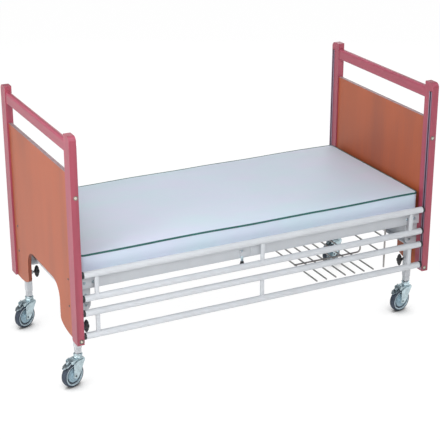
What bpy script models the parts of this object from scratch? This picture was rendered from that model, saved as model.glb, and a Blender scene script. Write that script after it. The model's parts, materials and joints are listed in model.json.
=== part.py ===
"""Hospital bed with wooden end boards, sliding cot sides, telescopic legs and braked castors.

Metres, +Z up, origin on the floor under the middle of the bed's outline.
The head end is at -X, the foot end at +X, and the near long side at -Y.
An `end` is -1 for the head and +1 for the foot; a `side` is -1 for near and +1 for far.
"""

import math

import bmesh
import bpy
from mathutils import Matrix, Vector

ENDS = {"head": -1, "foot": 1}
SIDES = {"near": -1, "far": 1}

# Gaps
SEAT_GAP = 0.0003           # between pieces that touch or turn in each other

# End boards
BED_LENGTH = 2.000          # over the posts' outer faces
BED_WIDTH = 0.990           # over the posts' outer faces
POST_THICKNESS = 0.036
POST_DEPTH = 0.070
POST_BOTTOM = 0.270
POST_HEIGHT = 1.040
POST_CORNER = 0.025
POST_FOOT_ROUND = 0.010
POST_EDGE = 0.002
TOP_RAIL_DROP = 0.030      # from the post's top to the rail's top
TOP_RAIL_HEIGHT = 0.061
TOP_RAIL_THICKNESS = 0.030
HAND_GAP = 0.103            # between the top rail and the panel
PANEL_THICKNESS = 0.018
PANEL_RECESS = 0.010
PANEL_LIFT = 0.0036         # of the panel's feet above the posts' feet
ARCH_WIDTH = 0.480
ARCH_HEIGHT = 0.219
ARCH_CORNER = 0.090
ARCH_FLARE_WIDTH = 0.145
ARCH_FLARE_HEIGHT = 0.044

# Runner channels and catch buttons
RUNNER_DEPTH = 0.024
RUNNER_WIDTH = 0.022
RUNNER_WALL = 0.0018
RUNNER_SLOT = 0.010
RUNNER_PROUD = 0.003        # of the post's inner face
RUNNER_FOOT = 0.007         # above the post's foot
RUNNER_HEAD = 0.045         # below the post's top
RUNNER_STOP = 0.019        # height of the stop at the channel's foot
BUTTON_RADIUS = 0.0065
BUTTON_PROUD = 0.003
BUTTON_STEM = 0.003
BUTTON_DOME = 0.001
BUTTON_X_INSET = 0.022      # from the post's outer face
BUTTON_HEIGHT = 0.748       # above the post's foot

# Cot sides
COT_INSET = 0.017           # from the post's outer side face to the tubes' axis
COT_TUBE_RADIUS = 0.0165
COT_PAIR_PITCH = {"lower": 0.119, "upper": 0.121}
COT_PAIR_GAP = 0.076        # between the two pairs' neighbouring axes
COT_SPACER_WIDTH = 0.020
COT_SPACER_DEPTH = 0.012
COT_SPACER_INSET = 0.065    # of the end spacers from the tubes' ends
GLIDE_COLLAR = 0.010
GLIDE_COLLAR_RADIUS = 0.017
GLIDE_HEIGHT = 0.020
GLIDE_RUN_GAP = 0.0006

# Frame
FRAME_INSET = 0.055         # from the posts' outer side faces
FRAME_TOP = 0.594
SIDE_RAIL_HEIGHT = 0.062
SIDE_RAIL_WIDTH = 0.020
SIDE_RAIL_WALL = 0.003
JOINT_X = -0.050            # where the head and foot side rails meet
DOUBLER_LENGTH = 0.070
DOUBLER_THICKNESS = 0.003
TONGUE_LENGTH = 0.080
TONGUE_ROOT = 0.060
TONGUE_THICKNESS = 0.012
CROSS_TUBE = 0.030
CROSS_TUBE_WALL = 0.002
CENTRE_TUBE_X = 0.120
END_MEMBER_BOTTOM = 0.407
END_MEMBER_HEIGHT = 0.128
END_MEMBER_DEPTH = 0.030
END_MEMBER_WALL = 0.003
GUSSET_THICKNESS = 0.005
GUSSET_REACH = 0.074
GUSSET_BOTTOM = 0.410
GUSSET_ROUND = 0.030
GUSSET_TOP_DROP = 0.003     # below the frame's top

# Locking screws at the middle joint
LOCK_X_OFFSET = -0.050      # from the joint
LOCK_BLOCK = 0.018
LOCK_BLOCK_HEIGHT = 0.020
LOCK_BLOCK_BOTTOM = 0.551
LOCK_SCREW_RADIUS = 0.004
LOCK_SCREW_TOP = 0.577
LOCK_CONE_TOP = 0.515
LOCK_CONE_HEIGHT = 0.014
LOCK_CONE_RADIUS = 0.009

# Mattress platform and backrest
PLATE_THICKNESS = 0.004
PLATE_INSET = 0.008         # from the frame's outer side faces
PLATE_CORNER = 0.030
PLATE_END_GAP = 0.030       # to the panels
HINGE_X = -0.170
HINGE_EDGE_BACK = 0.012     # backrest plate's edge to the hinge axis
HINGE_EDGE_SEAT = 0.014     # seat plate's edge to the hinge axis
HINGE_ROD_RADIUS = 0.005
BAR_HEIGHT = 0.020
BAR_THICKNESS = 0.020
SEAT_BAR_INSET = 0.050      # from the frame's outer side faces
BACK_BAR_INSET = 0.072
SLOT_WIDTH = 0.080
SLOT_PITCH = 0.120
SLOT_COLUMNS = 3
SLOT_LENGTH = 0.200
SLOT_MARGIN = 0.060
PROP_LENGTH = 0.300
PROP_RADIUS = 0.0095
PROP_INSET = 0.190          # from the frame's outer side faces
PROP_PIN = 0.025
PROP_BEND = 0.030
LUG_THICKNESS = 0.006
LUG_RADIUS = 0.0097
LUG_LIFT = 0.0015

# Legs
LEG_TUBE = 0.034
LEG_WALL = 0.002
LEG_INSET = 0.075           # from the frame's outer side faces
LEG_BOTTOM = 0.198
LEG_TOP_DROP = 0.003        # below the frame's top
LEG_CORNER = 0.004
INNER_TUBE_BOTTOM = 0.169
INNER_TUBE_LENGTH = 0.310
INNER_TUBE_PLUG = 0.010
STEM_RADIUS = 0.006
STEM_LENGTH = 0.021
KNOB_Z = 0.300
KNOB_REACH = 0.050          # from the leg's axis to the knob's middle
KNOB_LENGTH = 0.026
KNOB_HUB_RADIUS = 0.014
KNOB_HALF_SPAN = 0.031
KNOB_TIP_RADIUS = 0.009
KNOB_WING_THICKNESS = 0.016
KNOB_SHANK_RADIUS = 0.005
NUT_RADIUS = 0.010
NUT_LENGTH = 0.010

# Castors
WHEEL_RADIUS = 0.0625
WHEEL_WIDTH = 0.032
RIM_RADIUS = 0.046
RIM_WIDTH = 0.026
WEB_WIDTH = 0.016
HUB_RADIUS = 0.015
AXLE_RADIUS = 0.005
AXLE_HEAD_RADIUS = 0.009
AXLE_HEAD = 0.003
CASTOR_TRAIL = 0.040
FORK_GAP = 0.003            # beside the wheel
FORK_WALL = 0.003
CROWN_RADIUS = 0.026
CROWN_ROUND = 0.012
CROWN_TOP = 0.145
CROWN_ROOF = 0.006
FORK_BOSS_RADIUS = 0.014
CUP_RADIUS = 0.023
CUP_TOP = 0.166
CUP_BASE = 0.138
CUP_STEP = 0.007
PEDAL_EAR_RADIUS = 0.009
PEDAL_PIVOT = (-0.053, CROWN_TOP - PEDAL_EAR_RADIUS)
PEDAL_PIN_RADIUS = 0.0025
PEDAL_HUB_RADIUS = 0.0065
PEDAL_TREAD_TIP = (-0.098, 0.117)
PEDAL_TREAD_RADIUS = 0.004
PEDAL_TAB_TIP = (-0.063, 0.160)
PEDAL_TAB_RADIUS = 0.003
CASTOR_TURN = {
    ("head", "near"): 22.0,
    ("head", "far"): 25.0,
    ("foot", "near"): 11.0,
    ("foot", "far"): 15.0,
}

# Wire rack under the foot half
RACK_Z = 0.289
RACK_ROD_RADIUS = 0.0042
RACK_WIRE_RADIUS = 0.0048
RACK_WIRE_SPREAD = 0.155      # from the middle to each wire under the rods
RACK_ROD_COUNT = 7
RACK_ROD_PITCH = 0.058
RACK_ROD_START = 0.375
RACK_BACK_X = 0.787
RACK_BACK_RODS = (0.366, 0.459)
RACK_BEND = 0.020

# Mattress
MATTRESS_END_GAP = 0.024    # to the panels
MATTRESS_THICKNESS = 0.112
MATTRESS_CROWN = 0.010
MATTRESS_DRAW = 0.006
MATTRESS_EDGE = 0.012       # where the rounded edges begin

# Sizes worked out from the ones above
HALF_LENGTH = BED_LENGTH / 2
HALF_WIDTH = BED_WIDTH / 2
POST_TOP = POST_BOTTOM + POST_HEIGHT
POST_X = HALF_LENGTH - POST_THICKNESS / 2
POST_Y = HALF_WIDTH - POST_DEPTH / 2
POST_INNER_X = HALF_LENGTH - POST_THICKNESS
POST_INNER_Y = HALF_WIDTH - POST_DEPTH
FRAME_HALF_WIDTH = HALF_WIDTH - FRAME_INSET
PANEL_BOTTOM = POST_BOTTOM + PANEL_LIFT
TOP_RAIL_TOP = POST_TOP - TOP_RAIL_DROP
PANEL_TOP = TOP_RAIL_TOP - TOP_RAIL_HEIGHT - HAND_GAP
PANEL_INNER_X = HALF_LENGTH - PANEL_RECESS - PANEL_THICKNESS
RUNNER_FACE_X = POST_INNER_X - RUNNER_PROUD
RUNNER_BOTTOM = POST_BOTTOM + RUNNER_FOOT
RUNNER_LENGTH = POST_HEIGHT - RUNNER_FOOT - RUNNER_HEAD
COT_Y = HALF_WIDTH - COT_INSET
COT_BOTTOM = RUNNER_BOTTOM + RUNNER_STOP + SEAT_GAP + GLIDE_HEIGHT / 2
COT_BASE = {
    "lower": COT_BOTTOM,
    "upper": COT_BOTTOM + COT_PAIR_PITCH["lower"] + COT_PAIR_GAP,
}
COT_TUBE_END = RUNNER_FACE_X - SEAT_GAP - GLIDE_COLLAR
SIDE_RAIL_END = POST_INNER_X - SEAT_GAP
SIDE_RAIL_Z = FRAME_TOP - SIDE_RAIL_HEIGHT / 2
LEG_X = PANEL_INNER_X - SEAT_GAP - LEG_TUBE / 2
END_MEMBER_X = LEG_X - LEG_TUBE / 2 - SEAT_GAP
GUSSET_Y = FRAME_HALF_WIDTH - SIDE_RAIL_WIDTH - SEAT_GAP - GUSSET_THICKNESS / 2
LEG_Y = FRAME_HALF_WIDTH - LEG_INSET
LOCK_X = JOINT_X + LOCK_X_OFFSET
LOCK_Y = FRAME_HALF_WIDTH + LOCK_CONE_RADIUS
PLATE_HALF_WIDTH = FRAME_HALF_WIDTH - PLATE_INSET
SEAT_BAR_Y = FRAME_HALF_WIDTH - SEAT_BAR_INSET
BACK_BAR_Y = FRAME_HALF_WIDTH - BACK_BAR_INSET
PROP_HALF_WIDTH = FRAME_HALF_WIDTH - PROP_INSET
RACK_HALF_WIDTH = SEAT_BAR_Y
PLATE_BOTTOM = FRAME_TOP + SEAT_GAP
PLATE_TOP = PLATE_BOTTOM + PLATE_THICKNESS
HINGE_Z = PLATE_BOTTOM - BAR_HEIGHT / 2
CROSS_TUBE_Z = HINGE_Z - BAR_HEIGHT / 2 - SEAT_GAP - CROSS_TUBE / 2
PROP_X = HINGE_X - PROP_LENGTH
MATTRESS_BOTTOM = PLATE_TOP + SEAT_GAP
MATTRESS_LENGTH = 2 * (PANEL_INNER_X - MATTRESS_END_GAP)
MATTRESS_WIDTH = 2 * FRAME_HALF_WIDTH
INNER_TUBE = LEG_TUBE - 2 * LEG_WALL - 2 * SEAT_GAP
FORK_HALF_WIDTH = WHEEL_WIDTH / 2 + FORK_GAP + FORK_WALL
CUP_BORE_BOTTOM = INNER_TUBE_BOTTOM - STEM_LENGTH - SEAT_GAP

# Turns an outline drawn in X and Y into the named plane; the third axis is the thickness.
PLANES = {
    "XY": Matrix.Identity(4),
    "XZ": Matrix.Rotation(math.pi / 2, 4, "X"),
    "YZ": Matrix(((0, 0, 1, 0), (1, 0, 0, 0), (0, 1, 0, 0), (0, 0, 0, 1))),
}
# Turns a shape along Z onto the named axis.
AXES = {
    "X": Matrix.Rotation(math.pi / 2, 4, "Y"),
    "Y": Matrix.Rotation(-math.pi / 2, 4, "X"),
    "Z": Matrix.Identity(4),
}

COLOURS = {
    "stained_wood": ((0.42, 0.11, 0.13), 0.45, 0.0),
    "laminate": ((0.52, 0.20, 0.11), 0.5, 0.0),
    "aluminium": ((0.70, 0.71, 0.72), 0.35, 1.0),
    "white_paint": ((0.78, 0.79, 0.79), 0.4, 0.0),
    "zinc": ((0.55, 0.60, 0.64), 0.35, 1.0),
    "black_plastic": ((0.02, 0.02, 0.02), 0.5, 0.0),
    "wheel_rubber": ((0.10, 0.12, 0.15), 0.6, 0.0),
    "wire": ((0.60, 0.60, 0.60), 0.4, 0.6),
    "cover": ((0.62, 0.68, 0.80), 0.7, 0.0),
}


def clear_scene():
    """Remove what is in the scene and make the two collections."""
    for old in list(bpy.data.objects):
        bpy.data.objects.remove(old)
    for name in ("hospital_bed", "cutters"):
        collection = bpy.data.collections.get(name) or bpy.data.collections.new(name)
        if name not in bpy.context.scene.collection.children:
            bpy.context.scene.collection.children.link(collection)


def new_object(name, data):
    """Link a new object to the bed's collection."""
    obj = bpy.data.objects.new(name, data)
    bpy.data.collections["hospital_bed"].objects.link(obj)
    return obj


def material_for(name, kind):
    """A Principled material of one kind for the piece of that name."""
    colour, roughness, metallic = COLOURS[kind]
    material = bpy.data.materials.new(name)
    material.use_nodes = True
    shader = material.node_tree.nodes["Principled BSDF"]
    shader.inputs["Base Color"].default_value = (*colour, 1.0)
    shader.inputs["Roughness"].default_value = roughness
    shader.inputs["Metallic"].default_value = metallic
    return material


def finish_piece(obj, name, kind, parent, location=(0, 0, 0), turn=(0, 0, 0)):
    """Name, paint and place a piece under its parent."""
    obj.name = name
    obj.data.materials.clear()
    obj.data.materials.append(material_for(name, kind))
    obj.parent = parent
    obj.location = location
    obj.rotation_euler = turn
    return obj


def empty(name, parent=None, location=(0, 0, 0), turn=(0, 0, 0)):
    """A guide point that pieces are placed from."""
    guide = new_object(name, None)
    guide.parent = parent
    guide.location = location
    guide.rotation_euler = turn
    return guide


def mesh_object(name, build, matrix=Matrix.Identity(4)):
    """A mesh object whose bmesh is filled by `build`, then turned and moved by the matrix."""
    mesh = bpy.data.meshes.new(name)
    shape = bmesh.new()
    build(shape)
    bmesh.ops.transform(shape, matrix=matrix, verts=shape.verts)
    shape.to_mesh(mesh)
    shape.free()
    return new_object(name, mesh)


def settle(obj):
    """Replace an object's data by the mesh that its curve and modifiers make, welded."""
    bpy.context.view_layer.update()
    graph = bpy.context.evaluated_depsgraph_get()
    mesh = bpy.data.meshes.new_from_object(obj.evaluated_get(graph))
    shape = bmesh.new()
    shape.from_mesh(mesh)
    bmesh.ops.remove_doubles(shape, verts=shape.verts, dist=0.000005)
    bmesh.ops.recalc_face_normals(shape, faces=shape.faces)
    shape.to_mesh(mesh)
    shape.free()
    solid = new_object(obj.name + "_mesh", mesh)
    solid.matrix_world = obj.matrix_world
    bpy.data.objects.remove(obj)
    return solid


def box(low, high):
    """A box between two corners."""
    low = Vector(low)
    high = Vector(high)
    size = high - low
    matrix = Matrix.Translation((low + high) / 2) @ Matrix.Diagonal((*size, 1.0))
    return mesh_object("box", lambda shape: bmesh.ops.create_cube(shape, size=1.0), matrix)


def cylinder(radius, start, end, axis="Z", centre=(0, 0, 0), sides=16, end_radius=None):
    """A cylinder or cone along an axis, from start to end on it, through the centre."""
    matrix = Matrix.Translation(centre) @ AXES[axis] @ Matrix.Translation((0, 0, (start + end) / 2))

    def build(shape):
        bmesh.ops.create_cone(
            shape, cap_ends=True, segments=sides, radius1=radius,
            radius2=radius if end_radius is None else end_radius, depth=end - start)

    return mesh_object("cylinder", build, matrix)


def rounded(corners, steps=5):
    """An outline through corners (a, b, radius), each rounded by an arc of its radius."""
    points = []
    for index, (a, b, radius) in enumerate(corners):
        corner = Vector((a, b))
        if radius <= 0:
            points.append(corner)
            continue
        before = (Vector(corners[index - 1][:2]) - corner).normalized()
        after = (Vector(corners[(index + 1) % len(corners)][:2]) - corner).normalized()
        half_angle = before.angle(after) / 2
        centre = corner + (before + after).normalized() * (radius / math.sin(half_angle))
        reach = radius / math.tan(half_angle)
        start = corner + before * reach - centre
        end = corner + after * reach - centre
        first = math.atan2(start.y, start.x)
        sweep = (math.atan2(end.y, end.x) - first + math.pi) % (2 * math.pi) - math.pi
        for step in range(steps + 1):
            angle = first + sweep * step / steps
            points.append(centre + radius * Vector((math.cos(angle), math.sin(angle))))
    return points


def rectangle(low, high, radius=0.0, steps=3):
    """A rectangle's outline between two corners."""
    corners = [(low[0], low[1]), (high[0], low[1]), (high[0], high[1]), (low[0], high[1])]
    return rounded([(a, b, radius) for a, b in corners], steps)


def strap(first, first_radius, second, second_radius, steps=5):
    """The outline of a belt drawn tight round two circles."""
    first = Vector(first)
    second = Vector(second)
    line = second - first
    heading = math.atan2(line.y, line.x)
    spread = math.acos((first_radius - second_radius) / line.length)
    points = []
    for centre, radius, start, sweep in (
        (first, first_radius, heading + spread, 2 * math.pi - 2 * spread),
        (second, second_radius, heading - spread, 2 * spread),
    ):
        for step in range(steps + 1):
            angle = start + sweep * step / steps
            points.append(centre + radius * Vector((math.cos(angle), math.sin(angle))))
    return points


def extruded(outlines, thickness, plane="XY", centre=(0, 0, 0)):
    """A flat piece: the first outline is its edge and the others are holes through it."""
    curve = bpy.data.curves.new("outline", "CURVE")
    curve.dimensions = "2D"
    curve.fill_mode = "BOTH"
    curve.extrude = thickness / 2
    for outline in outlines:
        spline = curve.splines.new("POLY")
        spline.points.add(len(outline) - 1)
        for point, (a, b) in zip(spline.points, outline):
            point.co = (a, b, 0, 1)
        spline.use_cyclic_u = True
    solid = settle(new_object("outline", curve))
    solid.data.transform(Matrix.Translation(centre) @ PLANES[plane])
    return solid


def swept(path, radius, resolution=2):
    """A round bar bent along a path of points."""
    curve = bpy.data.curves.new("path", "CURVE")
    curve.dimensions = "3D"
    curve.bevel_depth = radius
    curve.bevel_resolution = resolution
    curve.use_fill_caps = True
    spline = curve.splines.new("POLY")
    spline.points.add(len(path) - 1)
    for point, place in zip(spline.points, path):
        point.co = (*place, 1)
    return settle(new_object("path", curve))


def turned(profile, steps=24):
    """A turned piece about Z. The profile (radius, height) runs down its outer side."""
    mesh = bpy.data.meshes.new("profile")
    closed = profile[0][0] > 0
    vertices = [(radius, 0, height) for radius, height in profile]
    edges = [(index, index + 1) for index in range(len(profile) - 1)]
    if closed:
        edges.append((len(profile) - 1, 0))
    mesh.from_pydata(vertices, edges, [])
    obj = new_object("turned", mesh)
    screw = obj.modifiers.new("turn", "SCREW")
    screw.axis = "Z"
    screw.steps = steps
    screw.render_steps = steps
    screw.use_merge_vertices = True
    screw.merge_threshold = 0.00001
    return settle(obj)


def combine(piece, other, operation):
    """Apply one exact Boolean at once and drop the other shape."""
    modifier = piece.modifiers.new("combine", "BOOLEAN")
    modifier.operation = operation
    modifier.solver = "EXACT"
    modifier.object = other
    solid = settle(piece)
    bpy.data.objects.remove(other)
    return solid


def fuse(*pieces):
    """Union of overlapping shapes as one solid."""
    whole = pieces[0]
    for piece in pieces[1:]:
        whole = combine(whole, piece, "UNION")
    return whole


def carve(piece, *tools):
    """The piece with the tools' shapes taken away."""
    for tool in tools:
        piece = combine(piece, tool, "DIFFERENCE")
    return piece


def clearance_cut(piece, tool, name):
    """A live cut by a tool that is placed with the piece and kept among the cutters."""
    tool.name = name
    tool.parent = piece.parent
    tool.location = piece.location
    tool.rotation_euler = piece.rotation_euler
    tool.hide_render = True
    tool.display_type = "WIRE"
    bpy.data.collections["hospital_bed"].objects.unlink(tool)
    bpy.data.collections["cutters"].objects.link(tool)
    modifier = piece.modifiers.new(name, "BOOLEAN")
    modifier.operation = "DIFFERENCE"
    modifier.solver = "EXACT"
    modifier.object = tool


def soften(piece, width, segments=2, angle=40):
    """Round a piece's sharp edges."""
    bevel = piece.modifiers.new("soften", "BEVEL")
    bevel.width = width
    bevel.segments = segments
    bevel.limit_method = "ANGLE"
    bevel.angle_limit = math.radians(angle)


def shade_round(piece, angle=35):
    """Shade smooth, with edges sharper than the angle kept sharp."""
    piece.data.shade_smooth()
    piece.data.set_sharp_from_angle(angle=math.radians(angle))


# End boards


def make_post(bed, end_name, side_name):
    """An upright with a rounded outer shoulder, a runner groove and a bore for the catch button."""
    end = ENDS[end_name]
    side = SIDES[side_name]
    outer = side * POST_DEPTH / 2
    outline = rounded([
        (-outer, 0, POST_FOOT_ROUND),
        (outer, 0, 0),
        (outer, POST_HEIGHT, POST_CORNER),
        (-outer, POST_HEIGHT, 0),
    ])
    post = extruded([outline], POST_THICKNESS, "YZ")
    soften(post, POST_EDGE)
    finish_piece(
        post, f"{end_name}_post_{side_name}", "stained_wood", bed,
        (end * POST_X, side * POST_Y, POST_BOTTOM))
    inner_x = -end * POST_THICKNESS / 2
    depth = RUNNER_DEPTH - RUNNER_PROUD + SEAT_GAP
    middle_y = side * (COT_Y - POST_Y)
    half = RUNNER_WIDTH / 2 + SEAT_GAP
    spread = sorted((inner_x + end * depth, inner_x - end * POST_EDGE))
    groove = box(
        (spread[0], middle_y - half, RUNNER_FOOT - SEAT_GAP),
        (spread[1], middle_y + half, RUNNER_FOOT + RUNNER_LENGTH + SEAT_GAP))
    clearance_cut(post, groove, f"{end_name}_groove_{side_name}")
    bore_x = end * (POST_THICKNESS / 2 - BUTTON_X_INSET)
    ends = sorted((middle_y + side * half / 2, side * POST_DEPTH))
    bore = cylinder(BUTTON_RADIUS + SEAT_GAP, ends[0], ends[1], "Y", (bore_x, 0, BUTTON_HEIGHT))
    clearance_cut(post, bore, f"{end_name}_bore_{side_name}")


def make_top_rail(bed, end_name):
    """The rounded handrail between the two posts of a board."""
    half = TOP_RAIL_THICKNESS / 2
    round_edge = half * 0.8
    outline = rectangle((-half, -TOP_RAIL_HEIGHT / 2), (half, TOP_RAIL_HEIGHT / 2), round_edge, 5)
    rail = extruded([outline], 2 * (POST_INNER_Y - SEAT_GAP), "XZ")
    finish_piece(
        rail, f"{end_name}_top_rail", "stained_wood", bed,
        (ENDS[end_name] * POST_X, 0, TOP_RAIL_TOP - TOP_RAIL_HEIGHT / 2))
    shade_round(rail)


def arch_outline():
    """The panel's edge, from its near foot over the arch and round the top."""
    half = POST_INNER_Y - SEAT_GAP
    top = PANEL_TOP - PANEL_BOTTOM
    steps = 8
    flare = []
    for step in range(steps + 1):
        angle = math.pi / 2 * step / steps
        across = ARCH_WIDTH / 2 + ARCH_FLARE_WIDTH * (1 - math.sin(angle))
        flare.append((across, ARCH_FLARE_HEIGHT * (1 - math.cos(angle))))
    shoulder = rounded([
        (ARCH_WIDTH / 2, ARCH_FLARE_HEIGHT, 0),
        (ARCH_WIDTH / 2, ARCH_HEIGHT, ARCH_CORNER),
        (-ARCH_WIDTH / 2, ARCH_HEIGHT, ARCH_CORNER),
        (-ARCH_WIDTH / 2, ARCH_FLARE_HEIGHT, 0),
    ], 8)
    far_side = flare + shoulder[1:-1]
    near_side = [(-across, height) for across, height in reversed(flare)]
    return [(half, top), (half, 0)] + far_side + near_side + [(-half, 0), (-half, top)]


def make_panel(bed, end_name):
    """The laminate board between the posts, with the arch cut from its foot."""
    panel = extruded([arch_outline()], PANEL_THICKNESS, "YZ")
    finish_piece(
        panel, f"{end_name}_panel", "laminate", bed,
        (ENDS[end_name] * (PANEL_INNER_X + PANEL_THICKNESS / 2), 0, PANEL_BOTTOM))


def make_runner(bed, end_name, side_name):
    """The slotted channel that a cot side's glides run in, with the stop at its foot."""
    inward = -ENDS[end_name]
    half = RUNNER_WIDTH / 2
    slot = RUNNER_SLOT / 2
    inside = half - RUNNER_WALL
    lip = -RUNNER_WALL
    back = -RUNNER_DEPTH
    half_section = [
        (back, half), (0, half), (0, slot), (lip, slot), (lip, inside), (back + RUNNER_WALL, inside)]
    section = half_section + [(a, -b) for a, b in reversed(half_section)]
    channel = extruded(
        [[(inward * a, b) for a, b in section]], RUNNER_LENGTH, "XY", (0, 0, RUNNER_LENGTH / 2))
    half_wall = RUNNER_WALL / 2
    spread = sorted((inward * (back + half_wall), inward * (lip + half_wall)))
    stop = box(
        (spread[0], -inside - half_wall, half_wall),
        (spread[1], inside + half_wall, RUNNER_STOP))
    runner = fuse(channel, stop)
    finish_piece(
        runner, f"{end_name}_runner_{side_name}", "aluminium", bed,
        (ENDS[end_name] * RUNNER_FACE_X, SIDES[side_name] * COT_Y, RUNNER_BOTTOM))


def make_catch_button(bed, end_name, side_name):
    """The round button on a post's side that frees the raised cot side."""
    profile = [
        (0, BUTTON_PROUD),
        (BUTTON_RADIUS * 0.7, BUTTON_PROUD - BUTTON_DOME * 0.3),
        (BUTTON_RADIUS, BUTTON_PROUD - BUTTON_DOME),
        (BUTTON_RADIUS, -BUTTON_STEM),
        (0, -BUTTON_STEM),
    ]
    button = turned(profile, 16)
    side = SIDES[side_name]
    end = ENDS[end_name]
    finish_piece(
        button, f"{end_name}_catch_button_{side_name}", "zinc", bed,
        (end * (HALF_LENGTH - BUTTON_X_INSET), side * HALF_WIDTH, POST_BOTTOM + BUTTON_HEIGHT),
        (-side * math.pi / 2, 0, 0))
    shade_round(button)


# Cot sides


def make_glide(end, height):
    """The glide on a tube's end: a collar, a neck through the slot and a head in the channel."""
    inside = RUNNER_WIDTH / 2 - RUNNER_WALL - GLIDE_RUN_GAP
    neck = RUNNER_SLOT / 2 - GLIDE_RUN_GAP
    lip_inside = RUNNER_FACE_X + RUNNER_WALL + GLIDE_RUN_GAP
    channel_back = RUNNER_FACE_X + RUNNER_DEPTH - RUNNER_WALL - GLIDE_RUN_GAP
    overlap = GLIDE_COLLAR / 4
    collar = cylinder(
        GLIDE_COLLAR_RADIUS, COT_TUBE_END - overlap, COT_TUBE_END + GLIDE_COLLAR, "X",
        (0, 0, height))
    neck_box = box(
        (COT_TUBE_END + overlap, -neck, height - GLIDE_HEIGHT / 2 + overlap),
        (lip_inside + overlap, neck, height + GLIDE_HEIGHT / 2 - overlap))
    head = box(
        (lip_inside, -inside, height - GLIDE_HEIGHT / 2),
        (channel_back, inside, height + GLIDE_HEIGHT / 2))
    glide = fuse(collar, neck_box, head)
    if end < 0:
        glide.data.transform(Matrix.Rotation(math.pi, 4, "Z"))
    return glide


def make_cot_pair(bed, side_name, pair):
    """Two tubes with three spacers and a glide on each end, as one welded piece."""
    pitch = COT_PAIR_PITCH[pair]
    parts = []
    for height in (0, pitch):
        parts.append(cylinder(COT_TUBE_RADIUS, -COT_TUBE_END, COT_TUBE_END, "X", (0, 0, height)))
    spacer_x = COT_TUBE_END - COT_SPACER_INSET
    for middle in (-spacer_x, 0, spacer_x):
        parts.append(box(
            (middle - COT_SPACER_WIDTH / 2, -COT_SPACER_DEPTH / 2, 0),
            (middle + COT_SPACER_WIDTH / 2, COT_SPACER_DEPTH / 2, pitch)))
    for end in ENDS.values():
        for height in (0, pitch):
            parts.append(make_glide(end, height))
    cot = fuse(*parts)
    finish_piece(
        cot, f"cot_{side_name}_{pair}", "white_paint", bed,
        (0, SIDES[side_name] * COT_Y, COT_BASE[pair]))
    shade_round(cot)


# Frame


def channel_section(height, width, wall, inward):
    """A C section standing on its back, open towards `inward` along the first axis."""
    points = [
        (0, 0), (width, 0), (width, wall), (wall, wall),
        (wall, height - wall), (width, height - wall), (width, height), (0, height)]
    return [(inward * a, b - height / 2) for a, b in points]


def side_channel(side, start, end):
    """A length of side rail along X, its back on the frame's outer face."""
    section = channel_section(SIDE_RAIL_HEIGHT, SIDE_RAIL_WIDTH, SIDE_RAIL_WALL, -side)
    return extruded([section], end - start, "YZ", ((start + end) / 2, 0, 0))


def make_head_side_rail(bed, side_name):
    """The head half's rail, with the block that holds the locking screw."""
    side = SIDES[side_name]
    rail = side_channel(side, -SIDE_RAIL_END, JOINT_X - SEAT_GAP)
    block_z = LOCK_BLOCK_BOTTOM - SIDE_RAIL_Z
    lock_y = LOCK_Y - FRAME_HALF_WIDTH
    spread = sorted((-side * SIDE_RAIL_WALL / 2, side * (lock_y + LOCK_CONE_RADIUS)))
    block = box(
        (LOCK_X - LOCK_BLOCK / 2, spread[0], block_z),
        (LOCK_X + LOCK_BLOCK / 2, spread[1], block_z + LOCK_BLOCK_HEIGHT))
    rail = fuse(rail, block)
    finish_piece(
        rail, f"head_side_rail_{side_name}", "white_paint", bed,
        (0, side * FRAME_HALF_WIDTH, SIDE_RAIL_Z))
    bore = cylinder(
        LOCK_SCREW_RADIUS + SEAT_GAP, block_z - LOCK_BLOCK_HEIGHT, block_z + 2 * LOCK_BLOCK_HEIGHT,
        "Z", (LOCK_X, side * lock_y, 0))
    clearance_cut(rail, bore, f"lock_bore_{side_name}")


def make_foot_side_rail(bed, side_name):
    """The foot half's rail, with the outer doubler and the tongue that enters the head rail."""
    side = SIDES[side_name]
    rail = side_channel(side, JOINT_X, SIDE_RAIL_END)
    half_wall = SIDE_RAIL_WALL / 2
    doubler_y = sorted((-side * half_wall, side * DOUBLER_THICKNESS))
    edge = SIDE_RAIL_HEIGHT / 2 - half_wall
    doubler = box(
        (JOINT_X + half_wall / 4, doubler_y[0], -edge),
        (JOINT_X + DOUBLER_LENGTH, doubler_y[1], edge))
    inner = SIDE_RAIL_WALL + SEAT_GAP
    tongue_y = sorted((-side * inner, -side * (inner + TONGUE_THICKNESS)))
    tongue_z = SIDE_RAIL_HEIGHT / 2 - inner
    tongue = box(
        (JOINT_X - TONGUE_LENGTH, tongue_y[0], -tongue_z),
        (JOINT_X + TONGUE_ROOT / 2, tongue_y[1], tongue_z))
    root_y = sorted((-side * half_wall, -side * (inner + TONGUE_THICKNESS)))
    root = box(
        (JOINT_X + half_wall, root_y[0], -edge),
        (JOINT_X + TONGUE_ROOT, root_y[1], edge))
    rail = fuse(rail, doubler, root, tongue)
    finish_piece(
        rail, f"foot_side_rail_{side_name}", "white_paint", bed,
        (0, side * FRAME_HALF_WIDTH, SIDE_RAIL_Z))


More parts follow.
